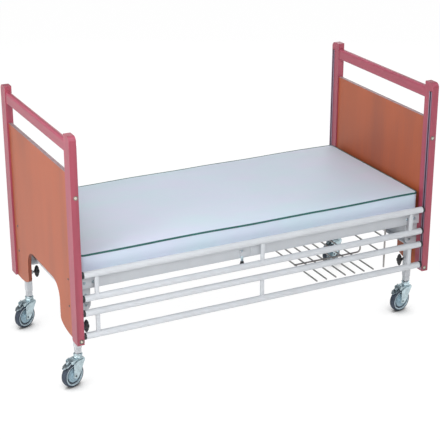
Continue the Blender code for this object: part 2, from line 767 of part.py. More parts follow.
def make_end_member(bed, end_name):
    """The deep channel across an end, with a gusset plate at each side rail."""
    end = ENDS[end_name]
    section = channel_section(END_MEMBER_HEIGHT, END_MEMBER_DEPTH, END_MEMBER_WALL, -end)
    middle_z = END_MEMBER_BOTTOM + END_MEMBER_HEIGHT / 2
    parts = [extruded([section], 2 * GUSSET_Y, "XZ", (end * END_MEMBER_X, 0, middle_z))]
    outer = end * (PANEL_INNER_X - SEAT_GAP)
    inner = end * (PANEL_INNER_X - SEAT_GAP - GUSSET_REACH)
    top = FRAME_TOP - GUSSET_TOP_DROP
    outline = rounded([
        (outer, GUSSET_BOTTOM, GUSSET_ROUND / 3),
        (inner, GUSSET_BOTTOM, GUSSET_ROUND),
        (inner, top, 0),
        (outer, top, 0),
    ])
    for side in SIDES.values():
        parts.append(extruded([outline], GUSSET_THICKNESS, "XZ", (0, side * GUSSET_Y, 0)))
    member = fuse(*parts)
    finish_piece(member, f"{end_name}_end_member", "white_paint", bed)


def cross_tube(half_length):
    """A square tube across the frame, open at both ends."""
    half = CROSS_TUBE / 2
    inside = half - CROSS_TUBE_WALL
    outer = rectangle((-half, -half), (half, half), CROSS_TUBE_WALL * 1.5)
    inner = rectangle((-inside, -inside), (inside, inside))
    return extruded([outer, inner], 2 * half_length, "XZ", (0, 0, CROSS_TUBE_Z))


def make_cross_tubes(bed):
    """The tube that carries the backrest's prop, and the one behind the middle joint."""
    half_length = FRAME_HALF_WIDTH - SIDE_RAIL_WALL - SEAT_GAP
    tube = cross_tube(half_length)
    lugs = []
    for side in SIDES.values():
        lug_y = side * (PROP_HALF_WIDTH + PROP_RADIUS + SEAT_GAP + LUG_THICKNESS / 2)
        outline = rounded([
            (-LUG_RADIUS, CROSS_TUBE_Z, 0),
            (LUG_RADIUS, CROSS_TUBE_Z, 0),
            (LUG_RADIUS, HINGE_Z + LUG_RADIUS - LUG_LIFT, LUG_RADIUS * 0.9),
            (-LUG_RADIUS, HINGE_Z + LUG_RADIUS - LUG_LIFT, LUG_RADIUS * 0.9),
        ])
        lugs.append(extruded([outline], LUG_THICKNESS, "XZ", (0, lug_y, 0)))
    inside = CROSS_TUBE / 2 - CROSS_TUBE_WALL
    core = box(
        (-inside, -HALF_WIDTH, CROSS_TUBE_Z - inside), (inside, HALF_WIDTH, CROSS_TUBE_Z + inside))
    tube = carve(fuse(tube, *lugs), core)
    finish_piece(tube, "prop_cross_tube", "white_paint", bed, (PROP_X, 0, 0))
    bore = cylinder(
        PROP_RADIUS * 0.6 + SEAT_GAP, -half_length, half_length, "Y", (0, 0, HINGE_Z))
    clearance_cut(tube, bore, "prop_bore")
    centre = cross_tube(half_length)
    finish_piece(centre, "centre_cross_tube", "white_paint", bed, (CENTRE_TUBE_X, 0, 0))


def make_lock_screw(bed, side_name):
    """A locking screw with a cone-shaped grip at its lower end."""
    shank = cylinder(LOCK_SCREW_RADIUS, LOCK_CONE_TOP - LOCK_CONE_HEIGHT / 2, LOCK_SCREW_TOP)
    cone = cylinder(
        LOCK_CONE_RADIUS, LOCK_CONE_TOP - LOCK_CONE_HEIGHT, LOCK_CONE_TOP,
        end_radius=LOCK_SCREW_RADIUS + SEAT_GAP)
    screw = fuse(shank, cone)
    finish_piece(
        screw, f"lock_screw_{side_name}", "black_plastic", bed,
        (LOCK_X, SIDES[side_name] * LOCK_Y, 0))
    shade_round(screw)


# Mattress platform


def slot_edges(low, high, count, pitch, width):
    """The edges of evenly spaced slots along one direction, between a plate's two edges."""
    first = (low + high) / 2 - (count - 1) * pitch / 2
    edges = [low]
    for index in range(count):
        edges += [first + index * pitch - width / 2, first + index * pitch + width / 2]
    return edges + [high]


def platform_plate(start, end):
    """A plate between two places along X, with rows of slots and rounded corners."""
    rows = int((end - start - 2 * SLOT_MARGIN + SLOT_PITCH - SLOT_WIDTH) / SLOT_PITCH)
    strip = (2 * PLATE_HALF_WIDTH - SLOT_COLUMNS * SLOT_LENGTH) / (SLOT_COLUMNS + 1)
    x_edges = slot_edges(start, end, rows, SLOT_PITCH, SLOT_WIDTH)
    y_edges = slot_edges(
        -PLATE_HALF_WIDTH, PLATE_HALF_WIDTH, SLOT_COLUMNS, strip + SLOT_LENGTH, SLOT_LENGTH)

    def build(shape):
        grid = [[shape.verts.new((x, y, 0)) for y in y_edges] for x in x_edges]
        for row in range(len(x_edges) - 1):
            for column in range(len(y_edges) - 1):
                is_slot = row % 2 == 1 and column % 2 == 1
                if not is_slot:
                    shape.faces.new((
                        grid[row][column], grid[row + 1][column],
                        grid[row + 1][column + 1], grid[row][column + 1]))
        corners = [grid[0][0], grid[0][-1], grid[-1][0], grid[-1][-1]]
        bmesh.ops.bevel(
            shape, geom=corners, offset=PLATE_CORNER, segments=3, profile=0.5, affect="VERTICES")

    middle_z = (PLATE_BOTTOM + PLATE_TOP) / 2
    plate = mesh_object("plate", build, Matrix.Translation((0, 0, middle_z)))
    thicken = plate.modifiers.new("thicken", "SOLIDIFY")
    thicken.thickness = PLATE_THICKNESS
    thicken.offset = 0
    return settle(plate)


def stiffener(direction, plate_edge, length, y):
    """A bar under a plate, running from the hinge axis along `direction` in X."""
    half = BAR_HEIGHT / 2
    sunk = half + PLATE_THICKNESS / 2
    inset = plate_edge + PLATE_THICKNESS / 2
    outline = rounded([
        (direction * -half, -half, half * 0.95),
        (direction * length, -half, 0),
        (direction * length, sunk, 0),
        (direction * inset, sunk, 0),
        (direction * inset, half - SEAT_GAP, 0),
        (direction * -half, half - SEAT_GAP, half * 0.9),
    ])
    return extruded([outline], BAR_THICKNESS, "XZ", (HINGE_X, y, HINGE_Z))


def make_seat_platform(bed):
    """The fixed plate under the seat and legs, with the rod that the backrest turns on."""
    start = HINGE_X + HINGE_EDGE_SEAT
    end = PANEL_INNER_X - PLATE_END_GAP
    parts = [platform_plate(start, end)]
    for side in SIDES.values():
        parts.append(stiffener(
            1, HINGE_EDGE_SEAT, end - HINGE_X - SLOT_MARGIN, side * SEAT_BAR_Y))
    parts.append(cylinder(
        HINGE_ROD_RADIUS, -SEAT_BAR_Y, SEAT_BAR_Y, "Y", (HINGE_X, 0, HINGE_Z)))
    platform = fuse(*parts)
    finish_piece(platform, "seat_platform", "white_paint", bed)


def make_backrest_platform(bed):
    """The hinged plate under the mattress's head half. Its origin is on the hinge axis."""
    start = -PANEL_INNER_X + PLATE_END_GAP
    end = HINGE_X - HINGE_EDGE_BACK
    parts = [platform_plate(start, end)]
    for side in SIDES.values():
        parts.append(stiffener(
            -1, HINGE_EDGE_BACK, HINGE_X - start - SLOT_MARGIN, side * BACK_BAR_Y))
    platform = fuse(*parts)
    platform.data.transform(Matrix.Translation((-HINGE_X, 0, -HINGE_Z)))
    finish_piece(
        platform, "backrest_platform", "white_paint", bed, (HINGE_X, 0, HINGE_Z))
    rod_hole = cylinder(HINGE_ROD_RADIUS + SEAT_GAP, -HALF_WIDTH, HALF_WIDTH, "Y")
    clearance_cut(platform, rod_hole, "backrest_hinge_bore")


def bend(before, corner, after, radius, steps=4):
    """Points of an arc that rounds a right-angled corner of a path."""
    corner = Vector(corner)
    into = (Vector(before) - corner).normalized()
    out = (Vector(after) - corner).normalized()
    centre = corner + (into + out) * radius
    points = []
    for step in range(steps + 1):
        angle = math.pi / 2 * step / steps
        points.append(centre - out * radius * math.cos(angle) - into * radius * math.sin(angle))
    return points


def make_backrest_prop(bed):
    """The bent prop that lifts the backrest: it turns on the cross tube's lugs."""
    half = PROP_HALF_WIDTH
    near_pivot = (0, -half, 0)
    near_tip = (-PROP_LENGTH, -half, 0)
    far_tip = (-PROP_LENGTH, half, 0)
    far_pivot = (0, half, 0)
    path = [near_pivot]
    path += bend(near_pivot, near_tip, far_tip, PROP_BEND)
    path += bend(near_tip, far_tip, far_pivot, PROP_BEND)
    path.append(far_pivot)
    parts = [swept(path, PROP_RADIUS)]
    for side in SIDES.values():
        spread = sorted((side * (half - PROP_RADIUS / 2), side * (half + PROP_PIN)))
        parts.append(cylinder(PROP_RADIUS * 0.6, spread[0], spread[1], "Y"))
        eye = sorted((side * (half - PROP_RADIUS / 2), side * (half + PROP_RADIUS / 2)))
        parts.append(cylinder(PROP_RADIUS * 0.98, eye[0], eye[1], "Y"))
    prop = fuse(*parts)
    finish_piece(prop, "backrest_prop", "zinc", bed, (PROP_X, 0, HINGE_Z))
    shade_round(prop)


# Legs


def make_leg_socket(bed, end_name, side_name):
    """The fixed square tube of a leg, with the nut that the clamp knob's shank passes."""
    inward = -ENDS[end_name]
    half = LEG_TUBE / 2
    inside = half - LEG_WALL
    height = FRAME_TOP - LEG_TOP_DROP - LEG_BOTTOM
    outer = rectangle((-half, -half), (half, half), LEG_CORNER)
    tube = extruded([outer], height, "XY", (0, 0, height / 2))
    spread = sorted((inward * (half - LEG_WALL / 2), inward * (half + NUT_LENGTH)))
    nut = cylinder(
        NUT_RADIUS, spread[0], spread[1], "X", (0, 0, KNOB_Z - LEG_BOTTOM), sides=6)
    socket = fuse(tube, nut)
    core = box((-inside, -inside, -half), (inside, inside, height + half))
    bore_ends = sorted((0, inward * 2 * (half + NUT_LENGTH)))
    bore = cylinder(
        KNOB_SHANK_RADIUS + SEAT_GAP, bore_ends[0], bore_ends[1], "X",
        (0, 0, KNOB_Z - LEG_BOTTOM))
    finish_piece(
        socket, f"{end_name}_leg_socket_{side_name}", "white_paint", bed,
        (ENDS[end_name] * LEG_X, SIDES[side_name] * LEG_Y, LEG_BOTTOM))
    clearance_cut(socket, core, f"{end_name}_leg_core_{side_name}")
    clearance_cut(socket, bore, f"{end_name}_leg_bore_{side_name}")


def inner_tube_solid():
    """A telescopic tube, open above, with its plug and the castor's stem below."""
    half = INNER_TUBE / 2
    inside = half - LEG_WALL
    tube = extruded(
        [rectangle((-half, -half), (half, half), LEG_WALL)], INNER_TUBE_LENGTH, "XY",
        (0, 0, INNER_TUBE_LENGTH / 2))
    core = box((-inside, -inside, INNER_TUBE_PLUG), (inside, inside, 2 * INNER_TUBE_LENGTH))
    stem = cylinder(STEM_RADIUS, -STEM_LENGTH, INNER_TUBE_PLUG / 2)
    return fuse(carve(tube, core), stem)


def knob_solid(inward):
    """A two-winged clamp knob on its shank, turning about X. The origin is at the knob's middle."""
    parts = [cylinder(KNOB_HUB_RADIUS, -KNOB_LENGTH / 2, KNOB_LENGTH / 2, "X")]
    tip = KNOB_HALF_SPAN - KNOB_TIP_RADIUS
    for sign in (-1, 1):
        wing = strap((0, 0), KNOB_HUB_RADIUS * 0.9, (0, sign * tip), KNOB_TIP_RADIUS)
        parts.append(extruded([wing], KNOB_WING_THICKNESS, "YZ"))
    shank_end = KNOB_REACH - INNER_TUBE / 2 - SEAT_GAP
    spread = sorted((-inward * shank_end, 0))
    parts.append(cylinder(KNOB_SHANK_RADIUS, spread[0], spread[1], "X"))
    return fuse(*parts)


def make_knob(bed, end_name, side_name):
    """The wing knob that clamps a leg's inner tube."""
    inward = -ENDS[end_name]
    knob = knob_solid(inward)
    finish_piece(
        knob, f"{end_name}_leg_knob_{side_name}", "black_plastic", bed,
        (ENDS[end_name] * (LEG_X - KNOB_REACH), SIDES[side_name] * LEG_Y, KNOB_Z))
    shade_round(knob)


# Castors


def fork_outline():
    """A fork cheek seen from the side: the crown, the axle boss and the ear for the pedal."""
    boss = FORK_BOSS_RADIUS
    boss_front = boss - CASTOR_TRAIL
    boss_back = -boss - CASTOR_TRAIL
    boss_foot = WHEEL_RADIUS - boss
    ear_back = PEDAL_PIVOT[0] - PEDAL_EAR_RADIUS
    ear_foot = PEDAL_PIVOT[1] - PEDAL_EAR_RADIUS
    return rounded([
        (CROWN_RADIUS, CROWN_TOP, CROWN_ROUND),
        (CROWN_RADIUS, ear_foot, CROWN_ROUND),
        (boss_front, boss_foot, boss * 0.7),
        (boss_back, boss_foot, boss * 0.95),
        (boss_back, WHEEL_RADIUS, 0),
        (-CROWN_RADIUS - CROWN_ROOF, ear_foot, CROWN_ROOF),
        (ear_back, ear_foot, PEDAL_EAR_RADIUS * 0.9),
        (ear_back, CROWN_TOP, PEDAL_EAR_RADIUS * 0.9),
    ], 3)


def fork_solid():
    """A pressed fork with its bearing cup, axle and pedal ears. The origin is under the stem."""
    width = 2 * FORK_HALF_WIDTH
    slot = FORK_HALF_WIDTH - FORK_WALL
    axle = (-CASTOR_TRAIL, WHEEL_RADIUS)
    reach = 2 * WHEEL_RADIUS
    throat = box((-reach, -slot, 0), (reach, slot, CROWN_TOP - CROWN_ROOF))
    ears = box(
        (-reach, -slot, CROWN_TOP / 2),
        (PEDAL_PIVOT[0] + PEDAL_EAR_RADIUS + PEDAL_PIN_RADIUS, slot, 2 * CROWN_TOP))
    fork = carve(extruded([fork_outline()], width, "XZ"), throat, ears)
    cup = turned([
        (0, CUP_TOP),
        (CUP_RADIUS - CUP_STEP / 2, CUP_TOP),
        (CUP_RADIUS, CUP_TOP - CUP_STEP / 2),
        (CUP_RADIUS, CUP_TOP - CUP_STEP),
        (CUP_RADIUS - CUP_STEP / 2, CUP_TOP - 1.5 * CUP_STEP),
        (CUP_RADIUS, CUP_TOP - 2.5 * CUP_STEP),
        (CUP_RADIUS * 0.8, CUP_BASE),
        (0, CUP_BASE),
    ], 14)
    cup_bore = cylinder(STEM_RADIUS + SEAT_GAP, CUP_BORE_BOTTOM, 2 * CUP_TOP)
    axle_pin = cylinder(AXLE_RADIUS, -slot - FORK_WALL / 2, slot + FORK_WALL / 2, "Y",
                        (axle[0], 0, axle[1]))
    pedal_pin = cylinder(PEDAL_PIN_RADIUS, -slot - FORK_WALL / 2, slot + FORK_WALL / 2, "Y",
                         (PEDAL_PIVOT[0], 0, PEDAL_PIVOT[1]), sides=12)
    fork = fuse(fork, cup, axle_pin, pedal_pin)
    for side in SIDES.values():
        spread = sorted((side * (FORK_HALF_WIDTH - FORK_WALL / 2),
                         side * (FORK_HALF_WIDTH + AXLE_HEAD)))
        head = cylinder(
            AXLE_HEAD_RADIUS, spread[0], spread[1], "Y", (axle[0], 0, axle[1]), sides=6)
        fork = fuse(fork, head)
    return carve(fork, cup_bore)


def wheel_solid():
    """A wheel about Z: a crowned tyre on a rim, a thin web and a hub with its bore."""
    half = WHEEL_WIDTH / 2
    crown = half * 0.75
    bore = AXLE_RADIUS + SEAT_GAP
    hub_half = half + FORK_GAP - SEAT_GAP
    upper = [
        (bore, hub_half),
        (HUB_RADIUS, hub_half),
        (HUB_RADIUS, WEB_WIDTH / 2),
        (RIM_RADIUS * 0.9, WEB_WIDTH / 2),
        (RIM_RADIUS, RIM_WIDTH / 2),
        (RIM_RADIUS, half),
        (WHEEL_RADIUS - crown / 2, half),
        (WHEEL_RADIUS, half - crown),
    ]
    lower = [(radius, -height) for radius, height in reversed(upper)]
    return turned(upper + lower, 24)


def pedal_solid():
    """The brake pedal: a hub on the pedal pin, a tread outwards and a release tab upwards."""
    width = 2 * (FORK_HALF_WIDTH - FORK_WALL - SEAT_GAP)
    tread = extruded([strap((0, 0), PEDAL_HUB_RADIUS, (
        PEDAL_TREAD_TIP[0] - PEDAL_PIVOT[0], PEDAL_TREAD_TIP[1] - PEDAL_PIVOT[1]),
        PEDAL_TREAD_RADIUS)], width, "XZ")
    tab = extruded([strap((0, 0), PEDAL_HUB_RADIUS * 0.8, (
        PEDAL_TAB_TIP[0] - PEDAL_PIVOT[0], PEDAL_TAB_TIP[1] - PEDAL_PIVOT[1]),
        PEDAL_TAB_RADIUS)], width / 2, "XZ")
    pedal = fuse(tread, tab)
    bore = cylinder(PEDAL_PIN_RADIUS + SEAT_GAP, -width, width, "Y", sides=12)
    return carve(pedal, bore)


def make_castor(bed, end_name, side_name, shapes):
    """A castor at its leg, turned about its stem as it stands."""
    label = f"{end_name}_castor"
    swivel = empty(
        f"{label}_swivel_{side_name}", bed,
        (ENDS[end_name] * LEG_X, SIDES[side_name] * LEG_Y, 0),
        (0, 0, math.radians(CASTOR_TURN[end_name, side_name])))
    fork = new_object("fork", shapes["fork"].data.copy())
    finish_piece(fork, f"{label}_fork_{side_name}", "zinc", swivel)
    wheel = new_object("wheel", shapes["wheel"].data.copy())
    finish_piece(
        wheel, f"{label}_wheel_{side_name}", "wheel_rubber", swivel,
        (-CASTOR_TRAIL, 0, WHEEL_RADIUS), (math.pi / 2, 0, 0))
    pedal = new_object("pedal", shapes["pedal"].data.copy())
    finish_piece(
        pedal, f"{label}_pedal_{side_name}", "zinc", swivel,
        (PEDAL_PIVOT[0], 0, PEDAL_PIVOT[1]))
    for piece in (fork, wheel, pedal):
        shade_round(piece)


def make_castors_and_inner_tubes(bed):
    """The telescopic tubes and the castors under them, from one shape of each kind."""
    shapes = {
        "fork": fork_solid(),
        "wheel": wheel_solid(),
        "pedal": pedal_solid(),
        "inner_tube": inner_tube_solid(),
    }
    for end_name in ENDS:
        for side_name in SIDES:
            tube = new_object("inner_tube", shapes["inner_tube"].data.copy())
            finish_piece(
                tube, f"{end_name}_leg_tube_{side_name}", "white_paint", bed,
                (ENDS[end_name] * LEG_X, SIDES[side_name] * LEG_Y, INNER_TUBE_BOTTOM))
            make_castor(bed, end_name, side_name, shapes)
    for shape in shapes.values():
        bpy.data.objects.remove(shape)


# Rack and mattress


def make_wire_rack(bed):
    """The bedding rack: cross rods on two wires that turn up to a back hung from the platform."""
    top = HINGE_Z - BAR_HEIGHT / 2 - SEAT_GAP
    parts = []
    for side in SIDES.values():
        y = side * RACK_WIRE_SPREAD
        start = (RACK_ROD_START - RACK_WIRE_RADIUS, y, RACK_Z)
        corner = (RACK_BACK_X, y, RACK_Z)
        end = (RACK_BACK_X, y, RACK_BACK_RODS[0])
        parts.append(swept([start] + bend(start, corner, end, RACK_BEND) + [end], RACK_WIRE_RADIUS))
        hanger = (RACK_BACK_X, side * RACK_HALF_WIDTH, 0)
        parts.append(cylinder(RACK_WIRE_RADIUS, RACK_Z, top, "Z", hanger))
    places = [(RACK_ROD_START + index * RACK_ROD_PITCH, RACK_Z) for index in range(RACK_ROD_COUNT)]
    places += [(RACK_BACK_X, z) for z in RACK_BACK_RODS]
    for x, z in places:
        parts.append(cylinder(
            RACK_ROD_RADIUS, -RACK_HALF_WIDTH, RACK_HALF_WIDTH, "Y", (x, 0, z), sides=8))
    rack = fuse(*parts)
    finish_piece(rack, "wire_rack", "wire", bed)
    shade_round(rack)


def make_mattress(bed):
    """The mattress: a coarse cage with a crown on top and drawn-in sides, subdivided."""
    half_length = MATTRESS_LENGTH / 2
    half_width = MATTRESS_WIDTH / 2
    half_height = MATTRESS_THICKNESS / 2
    cuts = {
        0: [half_length - MATTRESS_EDGE, half_length * 0.85, half_length * 0.45],
        1: [half_width - MATTRESS_EDGE, half_width * 0.6],
        2: [half_height - MATTRESS_EDGE],
    }

    def build(shape):
        size = Matrix.Diagonal((MATTRESS_LENGTH, MATTRESS_WIDTH, MATTRESS_THICKNESS, 1))
        bmesh.ops.create_cube(shape, size=1.0, matrix=size)
        for axis, places in cuts.items():
            normal = [0, 0, 0]
            normal[axis] = 1
            for place in places + [0] + [-place for place in places]:
                point = [0, 0, 0]
                point[axis] = place
                bmesh.ops.bisect_plane(
                    shape, geom=shape.verts[:] + shape.edges[:] + shape.faces[:],
                    plane_co=point, plane_no=normal, dist=0.00001)
        for vertex in shape.verts:
            along = vertex.co.x / half_length
            across = vertex.co.y / half_width
            up = vertex.co.z / half_height
            if up > 0.99:
                vertex.co.z += MATTRESS_CROWN * (1 - along ** 4) * (1 - across ** 2)
            if abs(up) < 0.01:
                pull = 1 - MATTRESS_DRAW / half_width
                vertex.co.x *= pull if abs(along) > 0.99 else 1
                vertex.co.y *= pull if abs(across) > 0.99 else 1

    mattress = mesh_object("mattress", build)
    smooth = mattress.modifiers.new("smooth", "SUBSURF")
    smooth.levels = 1
    smooth.render_levels = 1
    finish_piece(
        mattress, "mattress", "cover", bed, (0, 0, MATTRESS_BOTTOM + half_height))
    mattress.data.shade_smooth()


def centre_on_floor(bed):
    """Put the origin under the middle of the whole outline along the bed."""
    bpy.context.view_layer.update()
    graph = bpy.context.evaluated_depsgraph_get()
    places = []
    for piece in bpy.data.collections["hospital_bed"].objects:
        if piece.type == "MESH":
            solid = piece.evaluated_get(graph)
            places += [(piece.matrix_world @ vertex.co).x for vertex in solid.data.vertices]
    bed.location.x = -(min(places) + max(places)) / 2


def main():
    """Build the whole bed."""
    clear_scene()
    bed = empty("bed_middle")
    for end_name in ENDS:
        make_top_rail(bed, end_name)
        make_panel(bed, end_name)
        make_end_member(bed, end_name)
        for side_name in SIDES:
            make_post(bed, end_name, side_name)
            make_runner(bed, end_name, side_name)
            make_catch_button(bed, end_name, side_name)
            make_leg_socket(bed, end_name, side_name)
            make_knob(bed, end_name, side_name)
    for side_name in SIDES:
        make_head_side_rail(bed, side_name)
        make_foot_side_rail(bed, side_name)
        make_lock_screw(bed, side_name)
        for pair in COT_PAIR_PITCH:
            make_cot_pair(bed, side_name, pair)
    make_cross_tubes(bed)
    make_seat_platform(bed)
    make_backrest_platform(bed)
    make_backrest_prop(bed)
    make_castors_and_inner_tubes(bed)
    make_wire_rack(bed)
    make_mattress(bed)
    centre_on_floor(bed)


main()
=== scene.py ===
"""Finishes and details of a hospital bed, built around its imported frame.

Metres, +Z up. The head end is at -X, the foot end at +X, and the near long side at -Y.
"""

import json
import math

import bmesh
import bpy
from mathutils import Matrix, Vector, noise

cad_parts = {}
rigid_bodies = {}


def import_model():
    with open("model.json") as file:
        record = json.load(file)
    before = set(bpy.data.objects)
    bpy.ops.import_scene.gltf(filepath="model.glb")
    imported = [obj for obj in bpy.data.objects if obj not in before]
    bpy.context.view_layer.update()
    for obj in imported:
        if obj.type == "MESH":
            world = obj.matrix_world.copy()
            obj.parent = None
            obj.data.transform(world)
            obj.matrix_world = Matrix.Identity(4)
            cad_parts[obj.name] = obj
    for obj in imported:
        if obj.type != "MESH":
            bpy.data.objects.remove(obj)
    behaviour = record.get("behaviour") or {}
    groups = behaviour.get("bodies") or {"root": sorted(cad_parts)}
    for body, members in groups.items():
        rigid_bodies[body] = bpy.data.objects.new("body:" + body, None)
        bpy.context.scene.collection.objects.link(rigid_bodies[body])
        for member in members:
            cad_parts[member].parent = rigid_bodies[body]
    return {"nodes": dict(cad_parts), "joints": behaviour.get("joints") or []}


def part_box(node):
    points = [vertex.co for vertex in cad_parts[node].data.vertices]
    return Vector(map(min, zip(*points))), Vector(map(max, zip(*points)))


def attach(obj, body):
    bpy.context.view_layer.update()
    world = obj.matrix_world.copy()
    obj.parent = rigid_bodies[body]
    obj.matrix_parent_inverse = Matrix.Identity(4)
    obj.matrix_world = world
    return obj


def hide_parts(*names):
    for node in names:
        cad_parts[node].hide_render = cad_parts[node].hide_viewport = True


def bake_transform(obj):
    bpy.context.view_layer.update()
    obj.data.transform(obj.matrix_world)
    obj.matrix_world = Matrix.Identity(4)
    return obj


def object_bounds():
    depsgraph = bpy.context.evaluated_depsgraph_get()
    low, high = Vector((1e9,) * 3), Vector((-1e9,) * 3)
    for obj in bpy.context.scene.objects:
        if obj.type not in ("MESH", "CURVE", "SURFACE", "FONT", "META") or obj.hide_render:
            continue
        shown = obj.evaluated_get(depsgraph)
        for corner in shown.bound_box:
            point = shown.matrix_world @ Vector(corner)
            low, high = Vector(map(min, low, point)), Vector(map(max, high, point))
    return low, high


bl_info = {
    "name": "Hospital bed",
    "version": (1, 0, 0),
    "blender": (4, 5, 0),
    "location": "View3D > Sidebar > Bed",
    "description": "Finishes and details of a hospital bed with wooden boards and cot sides",
    "category": "Add Mesh",
}

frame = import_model()
cad_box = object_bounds()

ENDS = {"head": -1, "foot": 1}
SIDES = {"near": -1, "far": 1}
PAIRS = ("lower", "upper")
ROOT = "bed_frame"

# Sizes that more than one piece shares
FIT = 0.0003                # between a detail and what it lies on
COLLAR_LENGTH = 0.010       # of the cot sides' end collars
RUNNER_WALL = 0.0018
RUNNER_SLOT = 0.010
PLUG_HEIGHT = 0.007         # of the plug in each runner's mouth
PLUG_PROUD = 0.0012
SAME_POINT = 0.000002       # points nearer than this are merged


# Shader maths


class Value:
    """A shader socket that can be used in sums and products."""

    def __init__(self, graph, socket):
        self.graph = graph
        self.socket = socket

    def math(self, operation, *inputs):
        return self.graph.node(
            "ShaderNodeMath", {"operation": operation}, dict(enumerate(inputs)))

    def __add__(self, other):
        return self.math("ADD", self, other)

    def __radd__(self, other):
        return self.math("ADD", other, self)

    def __sub__(self, other):
        return self.math("SUBTRACT", self, other)

    def __rsub__(self, other):
        return self.math("SUBTRACT", other, self)

    def __mul__(self, other):
        return self.math("MULTIPLY", self, other)

    def __rmul__(self, other):
        return self.math("MULTIPLY", other, self)

    def absolute(self):
        return self.math("ABSOLUTE", self)

    def wave(self):
        return self.math("SINE", self)

    def largest(self, other):
        return self.math("MAXIMUM", self, other)

    def rise(self, start, end):
        """0 below start, 1 above end, and a smooth rise between them."""
        return self.graph.node(
            "ShaderNodeMapRange", {"interpolation_type": "SMOOTHSTEP"},
            {"Value": self, "From Min": start, "From Max": end})


class Graph:
    """A material's nodes."""

    def __init__(self, name):
        self.material = bpy.data.materials.new(name)
        self.material.use_nodes = True
        self.tree = self.material.node_tree
        self.shader = self.tree.nodes["Principled BSDF"]

    def node(self, kind, settings=None, sockets=None, output=0):
        """Add a node: its settings first, then the values or links of its sockets."""
        made = self.tree.nodes.new(kind)
        for name, setting in (settings or {}).items():
            if name == "stops":
                elements = made.color_ramp.elements
                for index, (place, colour) in enumerate(setting):
                    stop = elements[index] if index < 2 else elements.new(place)
                    stop.position = place
                    stop.color = (*colour, 1)
            else:
                setattr(made, name, setting)
        for name, value in (sockets or {}).items():
            self.put(made.inputs[name], value)
        return Value(self, made.outputs[output])

    def put(self, socket, value):
        """Link a value to a socket, or write a number or colour on it."""
        if isinstance(value, Value):
            self.tree.links.new(value.socket, socket)
        elif socket.type == "RGBA" and len(value) == 3:
            socket.default_value = (*value, 1)
        else:
            socket.default_value = value

    def place(self, scale=(1, 1, 1)):
        """The piece's own coordinates, stretched."""
        own = self.node("ShaderNodeTexCoord", output="Object")
        return self.node("ShaderNodeMapping", None, {"Vector": own, "Scale": scale})

    def axis(self, name, source="Object"):
        """One coordinate of the piece, or of its normal."""
        own = self.node("ShaderNodeTexCoord", output=source)
        return self.node("ShaderNodeSeparateXYZ", None, {"Vector": own}, output=name)

    def noise(self, place, scale, detail=2.0, roughness=0.5):
        """Cloudy noise from 0 to 1."""
        return self.node(
            "ShaderNodeTexNoise", None,
            {"Vector": place, "Scale": scale, "Detail": detail, "Roughness": roughness})

    def ramp(self, value, stops):
        """A colour for each value from 0 to 1."""
        return self.node("ShaderNodeValToRGB", {"stops": stops}, {"Fac": value})

    def tones(self, value, colour, *factors):
        """Darker and lighter tones of a colour for values from 0 to 1."""
        return self.ramp(value, [(place, shaded(colour, factor)) for place, factor in factors])

    def mix(self, first, second, amount, mode="MIX"):
        """Two colours mixed by an amount from 0 to 1."""
        return self.node(
            "ShaderNodeMix", {"data_type": "RGBA", "blend_type": mode},
            {"Factor": amount, 6: first, 7: second}, output=2)

    def corners(self):
        """0 on faces square to the axes, up to 1 on rounded edges and corners."""
        sides = [self.axis(name, "Normal").absolute() for name in "XYZ"]
        return 1 - sides[0].largest(sides[1]).largest(sides[2]).rise(0.78, 0.99)

    def relief(self, height, strength, distance):
        """Bump the surface by a height."""
        self.put(self.shader.inputs["Normal"], self.node(
            "ShaderNodeBump", None,
            {"Height": height, "Strength": strength, "Distance": distance}))

    def finish(self, **sockets):
        """Set the shader's sockets, named with _ for a space, and give back the material."""
        for name, value in sockets.items():
            self.put(self.shader.inputs[name.replace("_", " ")], value)
        return self.material


def shaded(colour, factor):
    """A colour made darker or lighter by a factor."""
    return tuple(min(channel * factor, 1.0) for channel in colour[:3])


# Materials


def stained_wood(name, stain, along):
    """Red-stained beech, its grain running along one axis, with a painted highlight that makes the
    rounded edges paler.
    """
    graph = Graph(name)
    stretch = tuple(0.045 if letter == along else 1.0 for letter in "XYZ")
    grain_place = graph.place(stretch)
    fine = graph.noise(grain_place, scale=520, detail=5, roughness=0.7)
    bands = graph.noise(grain_place, scale=46, detail=4, roughness=0.55)
    drift = graph.noise(graph.place(), scale=3.2, detail=2)
    figure = bands * 0.55 + fine * 0.3 + drift * 0.15
    colour = graph.tones(figure, stain, (0.30, 0.70), (0.70, 1.10), (0.50, 0.97))
    # Painted highlight: the rounded edges turn paler, patchy along the grain bands.
    pale = (min(stain[0] * 1.35, 1), stain[1] * 2.1, stain[2] * 2.0)
    edge_highlight = graph.corners() * (0.35 + 0.5 * bands)
    graph.relief(fine * 0.7 + bands * 0.3, strength=0.22, distance=0.0006)
    return graph.finish(
        Base_Color=graph.mix(colour, pale, edge_highlight),
        Roughness=0.34 + 0.16 * fine,
        Coat_Weight=0.16,
        Coat_Roughness=0.25)


